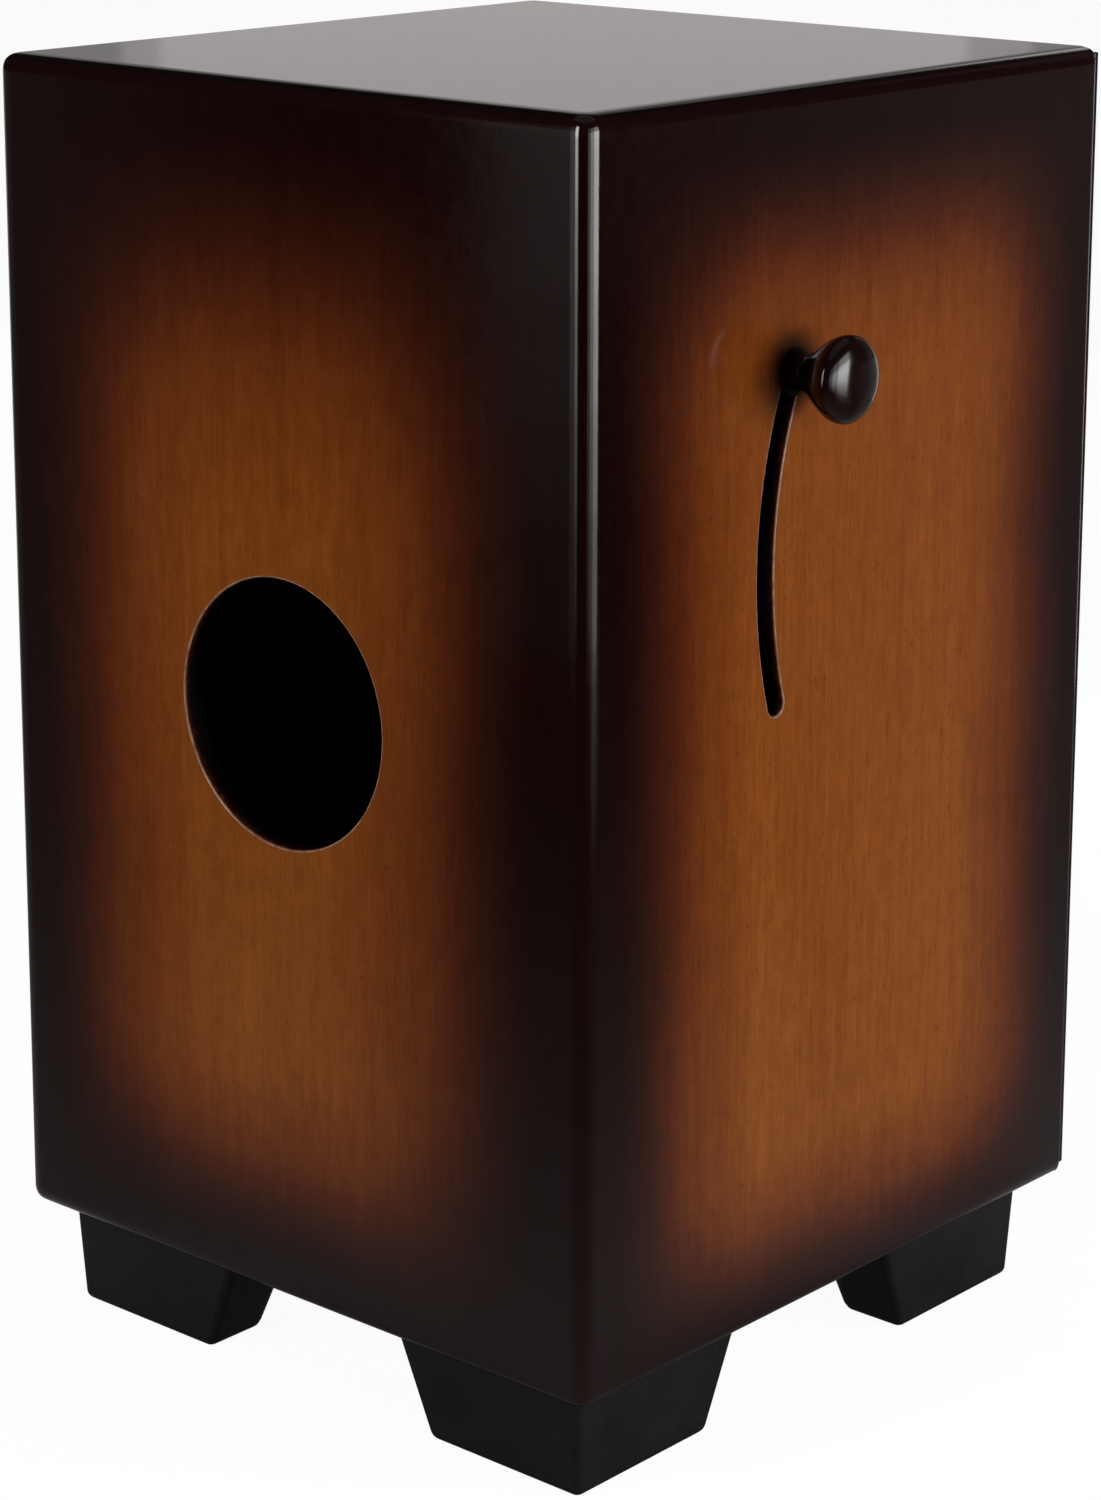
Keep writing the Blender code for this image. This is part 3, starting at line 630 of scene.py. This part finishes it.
def make_boards(sunbursts, inside, edge, rim):
    """Five boards: the top and bottom lie over the sides, and the rear covers all four."""
    block = make_body_block(sunbursts)
    behind = Y_REAR - REAR_THICKNESS
    floor = Z_BOTTOM + PANEL_THICKNESS
    ceiling = Z_TOP - PANEL_THICKNESS
    over = 0.005
    left, right, front = X_LEVER - over, X_PLAIN + over, Y_FRONT - over
    slices = {
        "top": ((left, front, ceiling), (right, behind, Z_TOP + over)),
        "bottom": ((left, front, Z_BOTTOM - over), (right, behind, floor)),
        "lever_side": ((left, front, floor), (X_LEVER + PANEL_THICKNESS, behind, ceiling)),
        "plain_side": ((X_PLAIN - PANEL_THICKNESS, front, floor), (right, behind, ceiling)),
        "rear": ((left, behind, Z_BOTTOM - over), (right, Y_REAR + over, Z_TOP + over)),
    }
    boards = {}
    for name, (low, high) in slices.items():
        boards[name] = mesh_object(name + "_board", box_shape(low, high), inside)
        carve(boards[name], block, "INTERSECT", keep=True)
    bpy.data.objects.remove(block)
    cut_rounded(boards["rear"], REAR_THICKNESS, hole_ring, (edge, rim))
    cut_rounded(boards["lever_side"], PANEL_THICKNESS, slot_ring, (edge, rim))
    for name, board in boards.items():
        smooth(board, 32)
        place_piece(board, "cabinet", "sunburst_lacquer", name + "_panel")


def make_tapa(finish, inside, edge):
    """The thin playing plate, with eased edges and a countersink under each screw."""
    shape = box_shape(TAPA_LOW, TAPA_HIGH, TAPA_EDGE_ROUND, 5)
    tapa = mesh_object("tapa_plate", shape, finish, inside)
    head, depth, shank = TAPA_SCREW[:3]
    sink = [(0, 0.002), (head + 0.0004, 0.002), (head + 0.0004, 0.0), (head + 0.0001, -0.0003)]
    sink += [(shank + 0.0003, -depth - 0.0001), (shank + 0.0003, -0.006), (0, -0.006)]
    for place in seats_of("tapa_screw", TAPA_SCREW, FORWARD).values():
        hollow(tapa, sink, place, FORWARD, 40, edge)
    for polygon in tapa.data.polygons:
        if polygon.normal.y > 0.9:
            polygon.material_index = 1
    smooth(tapa, 32)
    place_piece(tapa, "cabinet", "tapa_lacquer", "tapa")


# --- screws ---


def cross_recess(radius, depth, top):
    """The tapering cross that a driver fits, as a cutter along -Z from the given height."""
    wing, arm = radius * 0.62, radius * 0.17
    rings = []
    for level, share in ((top + 0.0004, 1.0), (top - depth * 0.5, 0.80), (top - depth, 0.30)):
        reach, half = wing * share, arm * (0.55 + 0.45 * share)
        quarter = [(reach, -half), (reach, half), (half, half)]
        ring = []
        for turn in range(4):
            spin = Matrix.Rotation(turn * math.pi / 2, 3, "Z")
            ring += [spin @ Vector((x, y, level)) for x, y in quarter]
        rings.append(ring)
    return loft_shape(rings)


def thread_shape(radius, start, end, pitch=0.0011, sides=14):
    """A wood screw's shank: a helical thread that tapers to a point, capped at its top."""
    depth = radius * 0.24
    levels = int((start - end) / (pitch / 4))
    rings = []
    for level in range(levels + 1):
        height = start + (end - start) * level / levels
        taper = min(1.0, (height - end) / 0.0035 + 0.12)
        ring = []
        for side in range(sides):
            turn = math.tau * side / sides
            wave = 0.5 + 0.5 * math.cos(math.tau * height / pitch + turn)
            reach = (radius - depth * (1 - wave**3)) * taper
            ring.append((reach * math.cos(turn), reach * math.sin(turn), height))
        rings.append(ring)
    return loft_shape(rings)


def screw_mesh(size, finish):
    """One screw, head up, seated at height 0, with a cross recess and a threaded shank."""
    head, depth, shank, length, countersunk = size
    if countersunk:
        profile = [(0.0, 0.0), (head - 0.00025, 0.0), (head, -0.0002), (head, -0.0004)]
        profile += [(shank * 0.98, -depth), (shank * 0.9, -depth - 0.0015), (0.0, -depth - 0.0015)]
        crown = 0.0
    else:
        turns = [math.radians(angle) for angle in (90, 75, 60, 45, 30, 15, 0)]
        crown = depth
        profile = [(0.0, depth)]
        for t in turns:
            across, up = 0.62 + 0.38 * math.cos(t), 0.25 + 0.75 * math.sin(t)
            profile.append((head * across, depth * up))
        profile += [(head, 0.00015), (head - 0.00015, 0.0), (shank * 0.9, 0.0)]
        profile += [(shank * 0.9, -0.0020), (0.0, -0.0020)]
    shape = turned_shape(profile, (0, 0, 0), (0, 0, 1), 40)
    made = mesh_object("screw", shape, finish)
    recess = min(depth * 0.8, head * 0.62)
    carve(made, mesh_object("recess", cross_recess(head, recess, crown), finish))
    start = -depth - 0.0004 if countersunk else -0.0004
    thread = mesh_object("thread", thread_shape(shank, start, -length), finish)
    carve(made, thread, "UNION")
    made.data.shade_smooth()
    made.data.set_sharp_from_angle(angle=math.radians(38))
    mesh = made.data
    bpy.data.objects.remove(made)
    return mesh


def screw_seat(node, direction, head_depth=0.0):
    """Where a CAD screw's head seats: on its axis, a head's depth in from its outer end."""
    low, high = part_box(node)
    seat = (low + high) / 2
    for axis in range(3):
        if direction[axis]:
            outer = high[axis] if direction[axis] > 0 else low[axis]
            seat[axis] = outer - direction[axis] * head_depth
    return seat


def seats_of(prefix, size, direction):
    """The seat of each CAD screw whose name starts with the prefix."""
    head_depth = 0.0 if size[4] else size[1]
    names = sorted(name for name in frame["nodes"] if name.startswith(prefix))
    return {name: screw_seat(name, direction, head_depth) for name in names}


def drive_screws(prefix, size, direction, finish, body, slot):
    """Puts the same screw in each seat, turned by a random amount about its own axis."""
    mesh = screw_mesh(size, finish)
    for node, seat in seats_of(prefix, size, direction).items():
        screw = shown(node + "_fine", mesh)
        turn = Matrix.Rotation(random.uniform(0, math.tau), 4, "Z")
        screw.matrix_world = aimed(seat, direction) @ turn
        place_piece(screw, body, slot, node)


# --- feet ---


def foot_ring(level, corner, inward, z):
    """The foot's five-cornered plan at one height, measured from the cabinet's corner."""
    near, far = FOOT_INSET[level], FOOT_REACH[level]
    width = near + FOOT_END_WIDTH[level]
    outline = [(near, near), (far, near), (far, width), (width, far), (near, far)]
    return [(corner[0] + inward[0] * x, corner[1] + inward[1] * y, z) for x, y in outline]


def make_foot(name, corner, inward, rubber, zinc):
    """One tapering rubber foot with rounded edges, and the washer in its well."""
    levels = (("bottom", 0.0), ("top", Z_BOTTOM - 0.0001))
    rings = [foot_ring(level, corner, inward, z) for level, z in levels]
    foot = mesh_object(f"foot_{name}_rubber", loft_shape(rings), rubber)
    round_edges(foot, FOOT_ROUND, 7)
    washer_low, washer_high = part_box("foot_washer_" + name)
    middle = (washer_low + washer_high) / 2
    ceiling = washer_high.z + 0.0001
    radius = FOOT_WELL_RADIUS
    well = [(0, ceiling), (radius - 0.0005, ceiling), (radius, ceiling - 0.0005), (radius, 0.0012)]
    well += [(radius + 0.0012, 0.0), (radius + 0.0022, -0.001), (0, -0.001)]
    hollow(foot, well, (middle.x, middle.y, 0.0), (0, 0, 1), 48, rubber)
    smooth(foot, 50)
    place_piece(foot, "cabinet", "foot_rubber", "foot_" + name)
    make_ring("foot_washer_" + name, "Z", FOOT_SCREW[2], zinc, "cabinet", "zinc_steel")


def make_feet(rubber, zinc):
    """One foot under each corner of the cabinet."""
    for side, x, inward_x in (("lever_side", X_LEVER, 1), ("plain_side", X_PLAIN, -1)):
        for end, y, inward_y in (("front", Y_FRONT, 1), ("rear", Y_REAR, -1)):
            make_foot(f"{end}_{side}", (x, y), (inward_x, inward_y), rubber, zinc)


# --- snare lever ---


def make_ring(node, axis, inner, finish, body, slot, ease=0.0002):
    """A washer, tube or pin in a CAD node's place, with eased rims. A pin's inner radius is 0."""
    low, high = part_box(node)
    letter = "XYZ".index(axis)
    outer = (high - low)[(letter + 1) % 3] / 2
    place = (low + high) / 2
    half = (high[letter] - low[letter]) / 2
    rim = [(outer - ease, half), (outer - ease * 0.3, half - ease * 0.3), (outer, half - ease)]
    rim += [(radius, -height) for radius, height in reversed(rim)]
    if inner:
        lip = [(inner, half - ease), (inner + ease * 0.3, half - ease * 0.3), (inner + ease, half)]
        back = [(radius, -height) for radius, height in reversed(lip)]
        profile = lip + rim + back + lip[:1]
    else:
        profile = [(0.0, half)] + rim + [(0.0, -half)]
    direction = [float(i == letter) for i in range(3)]
    ring = mesh_object(node + "_fine", turned_shape(profile, place, direction, 56), finish)
    smooth(ring)
    place_piece(ring, body, slot, node)


def knob_profile(reach):
    """The knob's outline as (radius, height) from its dome to its base."""
    dome = reach - KNOB_WAIST
    turns = [math.pi / 2 * i / 28 for i in range(29)]
    full = [(math.sin(t) ** KNOB_FULLNESS, math.cos(t) ** KNOB_FULLNESS) for t in turns]
    outline = [(KNOB_RADIUS * across, KNOB_WAIST + dome * up) for across, up in full]
    flare = KNOB_WAIST - KNOB_BASE - KNOB_NECK_LENGTH
    for i in range(1, 33):
        share = 1 - i / 32
        ease = share * share * (3 - 2 * share)
        radius = KNOB_NECK_RADIUS + (KNOB_RADIUS - KNOB_NECK_RADIUS) * ease
        outline.append((radius, KNOB_BASE + KNOB_NECK_LENGTH + flare * share))
    neck = KNOB_NECK_RADIUS
    outline += [(neck, KNOB_BASE + 0.0006), (neck - 0.0002, KNOB_BASE + 0.0002)]
    outline += [(neck - 0.0006, KNOB_BASE), (BOLT_CLEAR, KNOB_BASE)]
    return outline + [(BOLT_CLEAR, KNOB_BASE + KNOB_BORE), (0.0, KNOB_BASE + KNOB_BORE)]


def make_knob(finish):
    """The turned knob: a neck that flares into a domed head."""
    place = (X_LEVER, KNOB_AXIS.y, KNOB_AXIS.z)
    profile = knob_profile(X_LEVER - KNOB_LOW.x)
    knob = mesh_object("turned_knob", turned_shape(profile, place, (-1, 0, 0), 128), finish)
    smooth(knob, 60)
    place_piece(knob, "snare_lever", "knob_lacquer", "knob")


def make_bolt(zinc):
    """The hexagon bolt that joins the knob to the arm, with a chamfered head."""
    low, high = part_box("knob_bolt")
    head_radius, head_height, shank = 0.0058, 0.0040, 0.0030
    place = (low.x, KNOB_AXIS.y, KNOB_AXIS.z)
    length = high.x - low.x
    rod = [(0.0, length), (shank, length), (shank, 0.0006), (shank - 0.0006, 0.0), (0.0, 0.0)]
    bolt = mesh_object("knob_bolt_fine", turned_shape(rod, place, (1, 0, 0), 32), zinc)
    head_place = (high.x - head_height, KNOB_AXIS.y, KNOB_AXIS.z)
    hexagon = turned_shape(plain_rod(head_radius, head_height), head_place, (1, 0, 0), 6)
    head = mesh_object("bolt_head", hexagon, zinc)
    wide = head_radius * 1.04
    cone = [(0.0, head_height), (head_radius * 0.84, head_height), (wide, head_height - 0.0008)]
    cone += [(wide, -0.001), (0.0, -0.001)]
    chamfer = mesh_object("cone", turned_shape(cone, head_place, (1, 0, 0), 48), zinc)
    carve(head, chamfer, "INTERSECT")
    carve(bolt, head, "UNION")
    smooth(bolt, 28)
    place_piece(bolt, "snare_lever", "zinc_steel", "knob_bolt")


def make_arm(wood, edge):
    """The flat wooden arm with round ends, from behind the pivot to the knob's bolt."""
    low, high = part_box("lever_arm")
    half = ARM_WIDTH / 2
    right = LEVER_REST - math.pi / 2
    left = LEVER_REST + math.pi / 2
    outline = arc(on_lever(LEVER_RADIUS), half, right, left, 28)
    outline += arc(on_lever(half - ARM_NOSE), half, left, LEVER_REST + 3 * math.pi / 2, 28)
    rings = [[(x, y, z) for y, z in outline] for x in (low.x, high.x)]
    arm = mesh_object("lever_arm_wood", loft_shape(rings), wood)
    round_edges(arm, WOOD_EASE, 3, angle_limit=math.radians(50))
    bore_along_x(arm, on_lever(LEVER_RADIUS), low.x, high.x, BOLT_CLEAR, edge)
    bore_along_x(arm, (PIVOT.y, PIVOT.z), low.x, high.x, PIN_CLEAR, edge)
    for node in ("lever_arm_screw_front", "lever_arm_screw_rear"):
        sink_along_x(arm, screw_seat(node, (-1, 0, 0)), -1, ARM_SCREW, edge)
    smooth(arm)
    place_piece(arm, "snare_lever", "raw_wood", "lever_arm")


def bore_along_x(piece, centre, start, end, radius, finish):
    """Drills a hole with eased rims through a piece, along X, between its two faces."""
    y, z = centre
    ease = 0.0004
    length = end - start
    profile = [(0.0, length + 0.001), (radius + 0.0014, length + 0.001), (radius + ease, length)]
    profile += [(radius, length - ease), (radius, ease), (radius + ease, 0.0)]
    profile += [(radius + 0.0014, -0.001), (0.0, -0.001)]
    hollow(piece, profile, (start, y, z), (1, 0, 0), 40, finish)


def sink_along_x(piece, seat, sign, size, finish):
    """Cuts a countersink and a pilot hole into a piece, for a screw along X."""
    head, depth, shank = size[:3]
    profile = [(0.0, 0.002), (head + 0.0003, 0.002), (head + 0.0003, -0.0003)]
    profile += [(shank + 0.0003, -depth), (shank + 0.0003, -0.0300), (0.0, -0.0300)]
    hollow(piece, profile, seat, (sign, 0, 0), 32, finish)


def make_beam(wood, edge):
    """The wooden beam that turns with the arm and carries the snares."""
    low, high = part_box("snare_beam")
    beam = mesh_object("snare_beam_wood", box_shape(low, high, 0.0015, 4), wood)
    for side in SIDES:
        node = "pivot_pin_" + side
        pin_low, pin_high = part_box(node)
        start, end = pin_low.x - 0.0003, pin_high.x + 0.0003
        radius = (pin_high.z - pin_low.z) / 2 + 0.0002
        place = (start, PIVOT.y, PIVOT.z)
        hollow(beam, plain_rod(radius, end - start), place, (1, 0, 0), 40, edge)
    smooth(beam)
    place_piece(beam, "snare_lever", "raw_wood", "snare_beam")


def make_blocks(wood, edge):
    """The two bearing blocks on the side panels, bored for the pins."""
    for side, sign in SIDES.items():
        node = "pivot_block_" + side
        low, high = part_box(node)
        block = mesh_object(node + "_wood", box_shape(low, high, WOOD_EASE, 3), wood)
        bore_along_x(block, (PIVOT.y, PIVOT.z), low.x, high.x, PIN_CLEAR, edge)
        for end in ("lower", "upper"):
            seat = screw_seat(f"pivot_block_screw_{side}_{end}", (sign, 0, 0))
            sink_along_x(block, seat, sign, BLOCK_SCREW, edge)
        smooth(block)
        place_piece(block, "cabinet", "raw_wood", node)


# --- snare wires ---


def snare_frame(side):
    """The matrix that stands a wire set's own axes, with Z up its strands, on its plate."""
    low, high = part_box("snare_wires_" + side)
    beam_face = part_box("snare_beam")[0].y
    face_y = beam_face - 0.0003 - PLATE_SIZE.y / 2 - 0.0001
    place = Vector(((low.x + high.x) / 2, face_y, PIVOT.z))
    return Matrix.Translation(place) @ Matrix.Rotation(SNARE_LEAN, 4, "X")


def strand_points(number, start, end):
    """The centreline of one coiled strand between two heights."""
    x = (number - (SNARE_STRANDS - 1) / 2) * STRAND_PITCH
    steps = STRAND_TURNS * 8
    phase = random.uniform(0, math.tau)
    radius = STRAND_RADIUS - WIRE_RADIUS
    points = []
    for i in range(steps + 1):
        share = i / steps
        turn = phase + math.tau * STRAND_TURNS * share
        height = start + (end - start) * share
        points.append((x + radius * math.cos(turn), radius * math.sin(turn), height))
    return points


def make_coils(side, steel):
    """The coiled strands of one wire set, as tubes along helices."""
    curve = bpy.data.curves.new("coils", "CURVE")
    curve.dimensions = "3D"
    curve.bevel_depth = WIRE_RADIUS
    curve.bevel_resolution = 1
    curve.use_fill_caps = True
    for number in range(SNARE_STRANDS):
        points = strand_points(number, PLATE_SIZE.z * 0.2, STRAND_LENGTH)
        spline = curve.splines.new("POLY")
        spline.points.add(len(points) - 1)
        for point, place in zip(spline.points, points):
            point.co = (*place, 1.0)
    drawn = shown("coils", curve)
    mesh = final_mesh(drawn)
    bpy.data.objects.remove(drawn)
    mesh.transform(snare_frame(side))
    mesh.materials.clear()
    mesh.materials.append(steel)
    mesh.shade_smooth()
    coils = shown(f"snare_coils_{side}", mesh)
    place_piece(coils, "snare_lever", "snare_steel", "snare_wires_" + side)


def make_plates(side, steel):
    """The plate that the strands are brazed to, with its screw holes, and the tip strip."""
    turn = snare_frame(side)
    plate_shape = box_shape(-PLATE_SIZE / 2, PLATE_SIZE / 2, 0.0004, 3)
    plate = mesh_object(f"snare_plate_{side}", plate_shape, steel)
    tip_middle = Vector((0, 0, STRAND_LENGTH))
    tip_shape = box_shape(tip_middle - TIP_SIZE / 2, tip_middle + TIP_SIZE / 2, 0.0007, 4)
    tip = mesh_object(f"snare_tip_{side}", tip_shape, steel)
    for piece in (plate, tip):
        piece.data.transform(turn)
    hole = plain_rod(SNARE_SCREW[2] + 0.0003, 0.003, -0.003)
    for seat in seats_of("snare_screw_" + side, SNARE_SCREW, FORWARD).values():
        hollow(plate, hole, seat, FORWARD, 24, steel)
    for piece in (plate, tip):
        smooth(piece)
        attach(piece, "snare_lever")


# --- studio ---

# Each band of an upright light is (lowest height, highest height, share of its radiance).
LIGHT_DISTANCE = 1.20
REAR_BANDS = (
    (0.02, 0.09, 0.025),
    (0.09, 0.16, 0.08),
    (0.16, 0.24, 0.16),
    (0.24, 0.30, 0.28),
    (0.30, 0.36, 0.62),
    (0.36, 1.05, 1.00),
)
SIDE_BANDS = (
    (0.00, 0.09, 0.16),
    (0.09, 0.16, 0.32),
    (0.16, 0.24, 0.52),
    (0.24, 0.33, 0.78),
    (0.33, 0.60, 1.00),
    (0.60, 0.90, 0.35),
)
FRONT_BANDS = ((0.00, 0.55, 1.00), (0.55, 1.10, 0.60))

# Upright lights: (name, where it starts, where it ends, radiance, bands). The places are
# azimuths in degrees, seen from the cajon's near edge.
STRIPS = (
    ("rear_strip", 68.0, 82.0, 11.5, REAR_BANDS),
    ("rear_fill", 51.0, 70.0, 0.9, SIDE_BANDS),
    ("rear_edge", 46.0, 51.0, 0.25, SIDE_BANDS),
    ("side_strip", 192.0, 217.5, 8.8, SIDE_BANDS),
    ("side_fill", 169.0, 192.0, 4.2, SIDE_BANDS),
    ("side_edge", 150.0, 168.0, 1.3, SIDE_BANDS),
    ("front_fill", 246.0, 274.0, 0.08, FRONT_BANDS),
    ("front_edge", 274.0, 290.0, 1.70, FRONT_BANDS),
)

# The screen beyond the cajon, in bands across it: (where it starts, where it ends, radiance).
SCREEN_DISTANCE = 2.20
SCREEN_AZIMUTH = math.radians(295.5)
SCREEN_MIDDLE = Vector((0.0, 0.0, 1.25))
SCREEN_HEIGHT = 2.20
SCREEN_BANDS = (
    (-0.60, 0.18, 0.30),
    (0.18, 0.24, 0.45),
    (0.24, 1.045, 0.60),
    (1.045, 1.085, 0.45),
    (1.085, 1.50, 0.30),
)
CEILING_SIZE = 3.60
CEILING_HEIGHT = 2.90
CEILING_RADIANCE = 0.14
WARM_WHITE = (1.0, 0.95, 0.94)

# How bright the floor glows to the camera, and in reflections. In reflections the glow is painted light: a glow
# round the cajon that fades with distance, a painted shadow under the cajon, a pool of light under the side light,
# a haze and a backdrop to one side. Each of the last four is (where it starts, where it ends, brightness at its
# start, brightness at its end).
FLOOR_RADIUS = 14.0
FLOOR_WHITE = 1.085
FLOOR_WHITE_SHARE = 0.88
GLOW = 0.19
GLOW_START = 0.25
GLOW_FALL = -2.9
POOL_PLACE = (-1.24, -0.33, 0.0)
CONTACT_SHADE = (0.14, 0.26, 0.35, 1.0)
POOL = (0.05, 0.55, 0.45, 0.0)
HAZE = (-0.07, 0.26, 0.0, 0.12)
BACKDROP = (0.65, 1.15, 0.0, 0.50)

WHITE = (1.0, 1.0, 1.0, 1.0)
WORLD_DIM = 0.02
WORLD_WHITE = 0.955


def area_light(name, size, place, target, radiance, colour=(1.0, 1.0, 1.0)):
    """A soft rectangular light that the camera can't see. Radiance is its brightness."""
    width, height = size
    light = bpy.data.lights.new(name, "AREA")
    light.shape = "RECTANGLE"
    light.size = width
    light.size_y = height
    light.energy = radiance * width * height * math.pi
    light.color = colour
    made = shown(name, light)
    made.location = place
    aim = (Vector(target) - Vector(place)).normalized()
    made.rotation_euler = aim.to_track_quat("-Z", "Y").to_euler()
    made.visible_camera = False


def strip_light(name, start, end, radiance, bands):
    """An upright light between two azimuths seen from the cajon's near edge, in level bands."""
    turn = math.radians((start + end) / 2)
    width = 2 * LIGHT_DISTANCE * math.tan(math.radians(end - start) / 2)
    x = X_LEVER + LIGHT_DISTANCE * math.cos(turn)
    y = Y_REAR + LIGHT_DISTANCE * math.sin(turn)
    for number, (low, high, share) in enumerate(bands):
        middle = (low + high) / 2
        target = (X_LEVER, Y_REAR, middle)
        size = (width, high - low)
        area_light(f"{name}_{number}", size, (x, y, middle), target, radiance * share)


def screen_light():
    """A tall screen beyond the cajon, dimmer to its sides, which the top reflects."""
    away = Vector((math.cos(SCREEN_AZIMUTH), math.sin(SCREEN_AZIMUTH), 0.0))
    across = Vector((-away.y, away.x, 0.0))
    for number, (start, end, radiance) in enumerate(SCREEN_BANDS):
        target = across * ((start + end) / 2) + SCREEN_MIDDLE
        place = target + away * SCREEN_DISTANCE
        size = (end - start, SCREEN_HEIGHT)
        area_light(f"screen_{number}", size, place, target, radiance, WARM_WHITE)


def make_lights():
    """Narrow lights for the rear, broad ones for the lever side, a screen and a ceiling."""
    for strip in STRIPS:
        strip_light(*strip)
    screen_light()
    above = (0.0, 0.0, CEILING_HEIGHT)
    size = (CEILING_SIZE, CEILING_SIZE)
    area_light("ceiling", size, above, (0, 0, 0), CEILING_RADIANCE, WARM_WHITE)


def make_floor():
    """A pale floor."""
    shape = bmesh.new()
    bmesh.ops.create_circle(shape, cap_ends=True, radius=FLOOR_RADIUS, segments=96)
    floor = mesh_object("floor", shape, floor_material())


def floor_glow(tree):
    """The floor's painted glow in reflections, with a painted shadow under the cajon."""
    place = object_place(tree)
    distance = distance_to(tree, place, (0, 0, 0))
    past = maths(tree, "SUBTRACT", distance, GLOW_START)
    fall = maths(tree, "EXPONENT", maths(tree, "MULTIPLY", past, GLOW_FALL), 0.0)
    shade = ranged(tree, distance, *CONTACT_SHADE, "SMOOTHSTEP")
    glow = maths(tree, "MULTIPLY", maths(tree, "MULTIPLY", fall, GLOW), shade)
    pool = ranged(tree, distance_to(tree, place, POOL_PLACE), *POOL, "SMOOTHSTEP")
    parts = add(tree, "SeparateXYZ", {0: place}).outputs
    across = maths(tree, "SUBTRACT", parts["X"], parts["Y"])
    bearing = maths(tree, "DIVIDE", across, maths(tree, "MAXIMUM", distance, 0.05))
    haze = ranged(tree, bearing, *HAZE, "SMOOTHSTEP")
    backdrop = ranged(tree, bearing, *BACKDROP, "SMOOTHSTEP")
    near = maths(tree, "ADD", glow, pool)
    return maths(tree, "ADD", near, maths(tree, "ADD", haze, backdrop))


def floor_material():
    """Pale matt paper, glowing nearly white with soft shadows to the camera, and showing a dim painted glow in
    reflections.
    """
    made = bpy.data.materials.new("pale_floor")
    made.use_nodes = True
    tree = made.node_tree
    tree.nodes.clear()
    path = add(tree, "LightPath")
    paper = add(tree, "BsdfDiffuse", {"Color": (0.86, 0.86, 0.86, 1.0)})
    white = add(tree, "Emission", {"Color": WHITE, "Strength": FLOOR_WHITE})
    shares = {0: FLOOR_WHITE_SHARE, 1: paper.outputs[0], 2: white.outputs[0]}
    seen = add(tree, "MixShader", shares)
    dim = add(tree, "Emission", {"Color": WHITE, "Strength": floor_glow(tree)})
    camera = path.outputs["Is Camera Ray"]
    either = add(tree, "MixShader", {0: camera, 1: dim.outputs[0], 2: seen.outputs[0]})
    add(tree, "OutputMaterial", {0: either.outputs[0]})
    return made


def make_world():
    """White for the camera and nearly dark for everything else."""
    world = bpy.data.worlds.new("studio")
    world.use_nodes = True
    bpy.context.scene.world = world
    tree = world.node_tree
    background = tree.nodes["Background"]
    camera = add(tree, "LightPath").outputs["Is Camera Ray"]
    strength = ranged(tree, camera, 0.0, 1.0, WORLD_DIM, WORLD_WHITE)
    tree.links.new(strength, background.inputs["Strength"])
    background.inputs["Color"].default_value = WHITE


def make_camera():
    """The camera, at the rear and the lever side, a little above the top."""
    data = bpy.data.cameras.new("camera")
    data.lens = 93.487
    data.shift_x = -0.00247
    data.shift_y = -0.1486
    data.dof.use_dof = False
    camera = shown("camera", data)
    camera.location = (-0.95067, 1.09312, 0.64572)
    camera.rotation_euler = [math.radians(angle) for angle in (77.112, -0.112, -138.539)]
    bpy.context.scene.camera = camera


# --- the whole cajon ---


def make_cabinet(edge):
    """The boards, the tapa and the feet, with their screws."""
    inside = near_black_inside()
    rim = worn_rim_and_painted_sheen()
    sunbursts = {face: sunburst(face, SUNBURST_STOPS, "Z") for face in FACES[:4]}
    for face in ("top", "bottom"):
        sunbursts[face] = sunburst(face, TOP_STOPS, "Y")
    black = metal("black_oxide", (0.030, 0.030, 0.031), (0.060, 0.060, 0.062), 0.42, "Y")
    zinc = metal("zinc_plate", (0.46, 0.46, 0.45), (0.66, 0.66, 0.67), 0.32, "Z")
    make_boards(sunbursts, inside, edge, rim)
    make_tapa(sunbursts["front"], inside, edge)
    drive_screws("tapa_screw", TAPA_SCREW, FORWARD, black, "cabinet", "black_steel")
    make_feet(foot_rubber(), zinc)
    drive_screws("foot_screw", FOOT_SCREW, (0, 0, -1), zinc, "cabinet", "zinc_steel")
    return zinc, black


def make_lever(zinc, black, edge):
    """Everything that turns with the lever, and the blocks that it turns in."""
    beech_across = bare_wood("beech_across", "X")
    beech_upright = bare_wood("beech_upright", "Z")
    beech_along = bare_wood("beech_along", "Y")
    spring = metal("spring_steel", (0.60, 0.60, 0.61), (0.80, 0.80, 0.81), 0.22, "X")
    make_blocks(beech_upright, edge)
    make_beam(beech_across, edge)
    make_arm(beech_along, edge)
    make_knob(knob_gloss())
    make_bolt(zinc)
    plastic = nylon()
    for node in ("knob_washer", "guide_washer"):
        make_ring(node, "X", BOLT_CLEAR, plastic, "snare_lever", "nylon")
    make_ring("bolt_spacer", "X", BOLT_CLEAR, zinc, "snare_lever", "zinc_steel")
    for side in SIDES:
        make_ring("pivot_pin_" + side, "X", 0.0, zinc, "snare_lever", "zinc_steel", 0.0005)
        make_coils(side, spring)
        make_plates(side, spring)
        screws = "snare_screw_" + side
        drive_screws(screws, SNARE_SCREW, FORWARD, black, "snare_lever", "black_steel")
    outward = (-1, 0, 0)
    drive_screws("lever_arm_screw", ARM_SCREW, outward, zinc, "snare_lever", "zinc_steel")
    for side, sign in SIDES.items():
        screws = "pivot_block_screw_" + side
        drive_screws(screws, BLOCK_SCREW, (sign, 0, 0), zinc, "cabinet", "zinc_steel")


make_camera()
make_world()
make_lights()
make_floor()
EDGE_STAIN_AND_PAINTED_SHADE = edge_stain_and_painted_shade()
ZINC, BLACK = make_cabinet(EDGE_STAIN_AND_PAINTED_SHADE)
make_lever(ZINC, BLACK, EDGE_STAIN_AND_PAINTED_SHADE)
bpy.context.scene.view_settings.view_transform = "Standard"

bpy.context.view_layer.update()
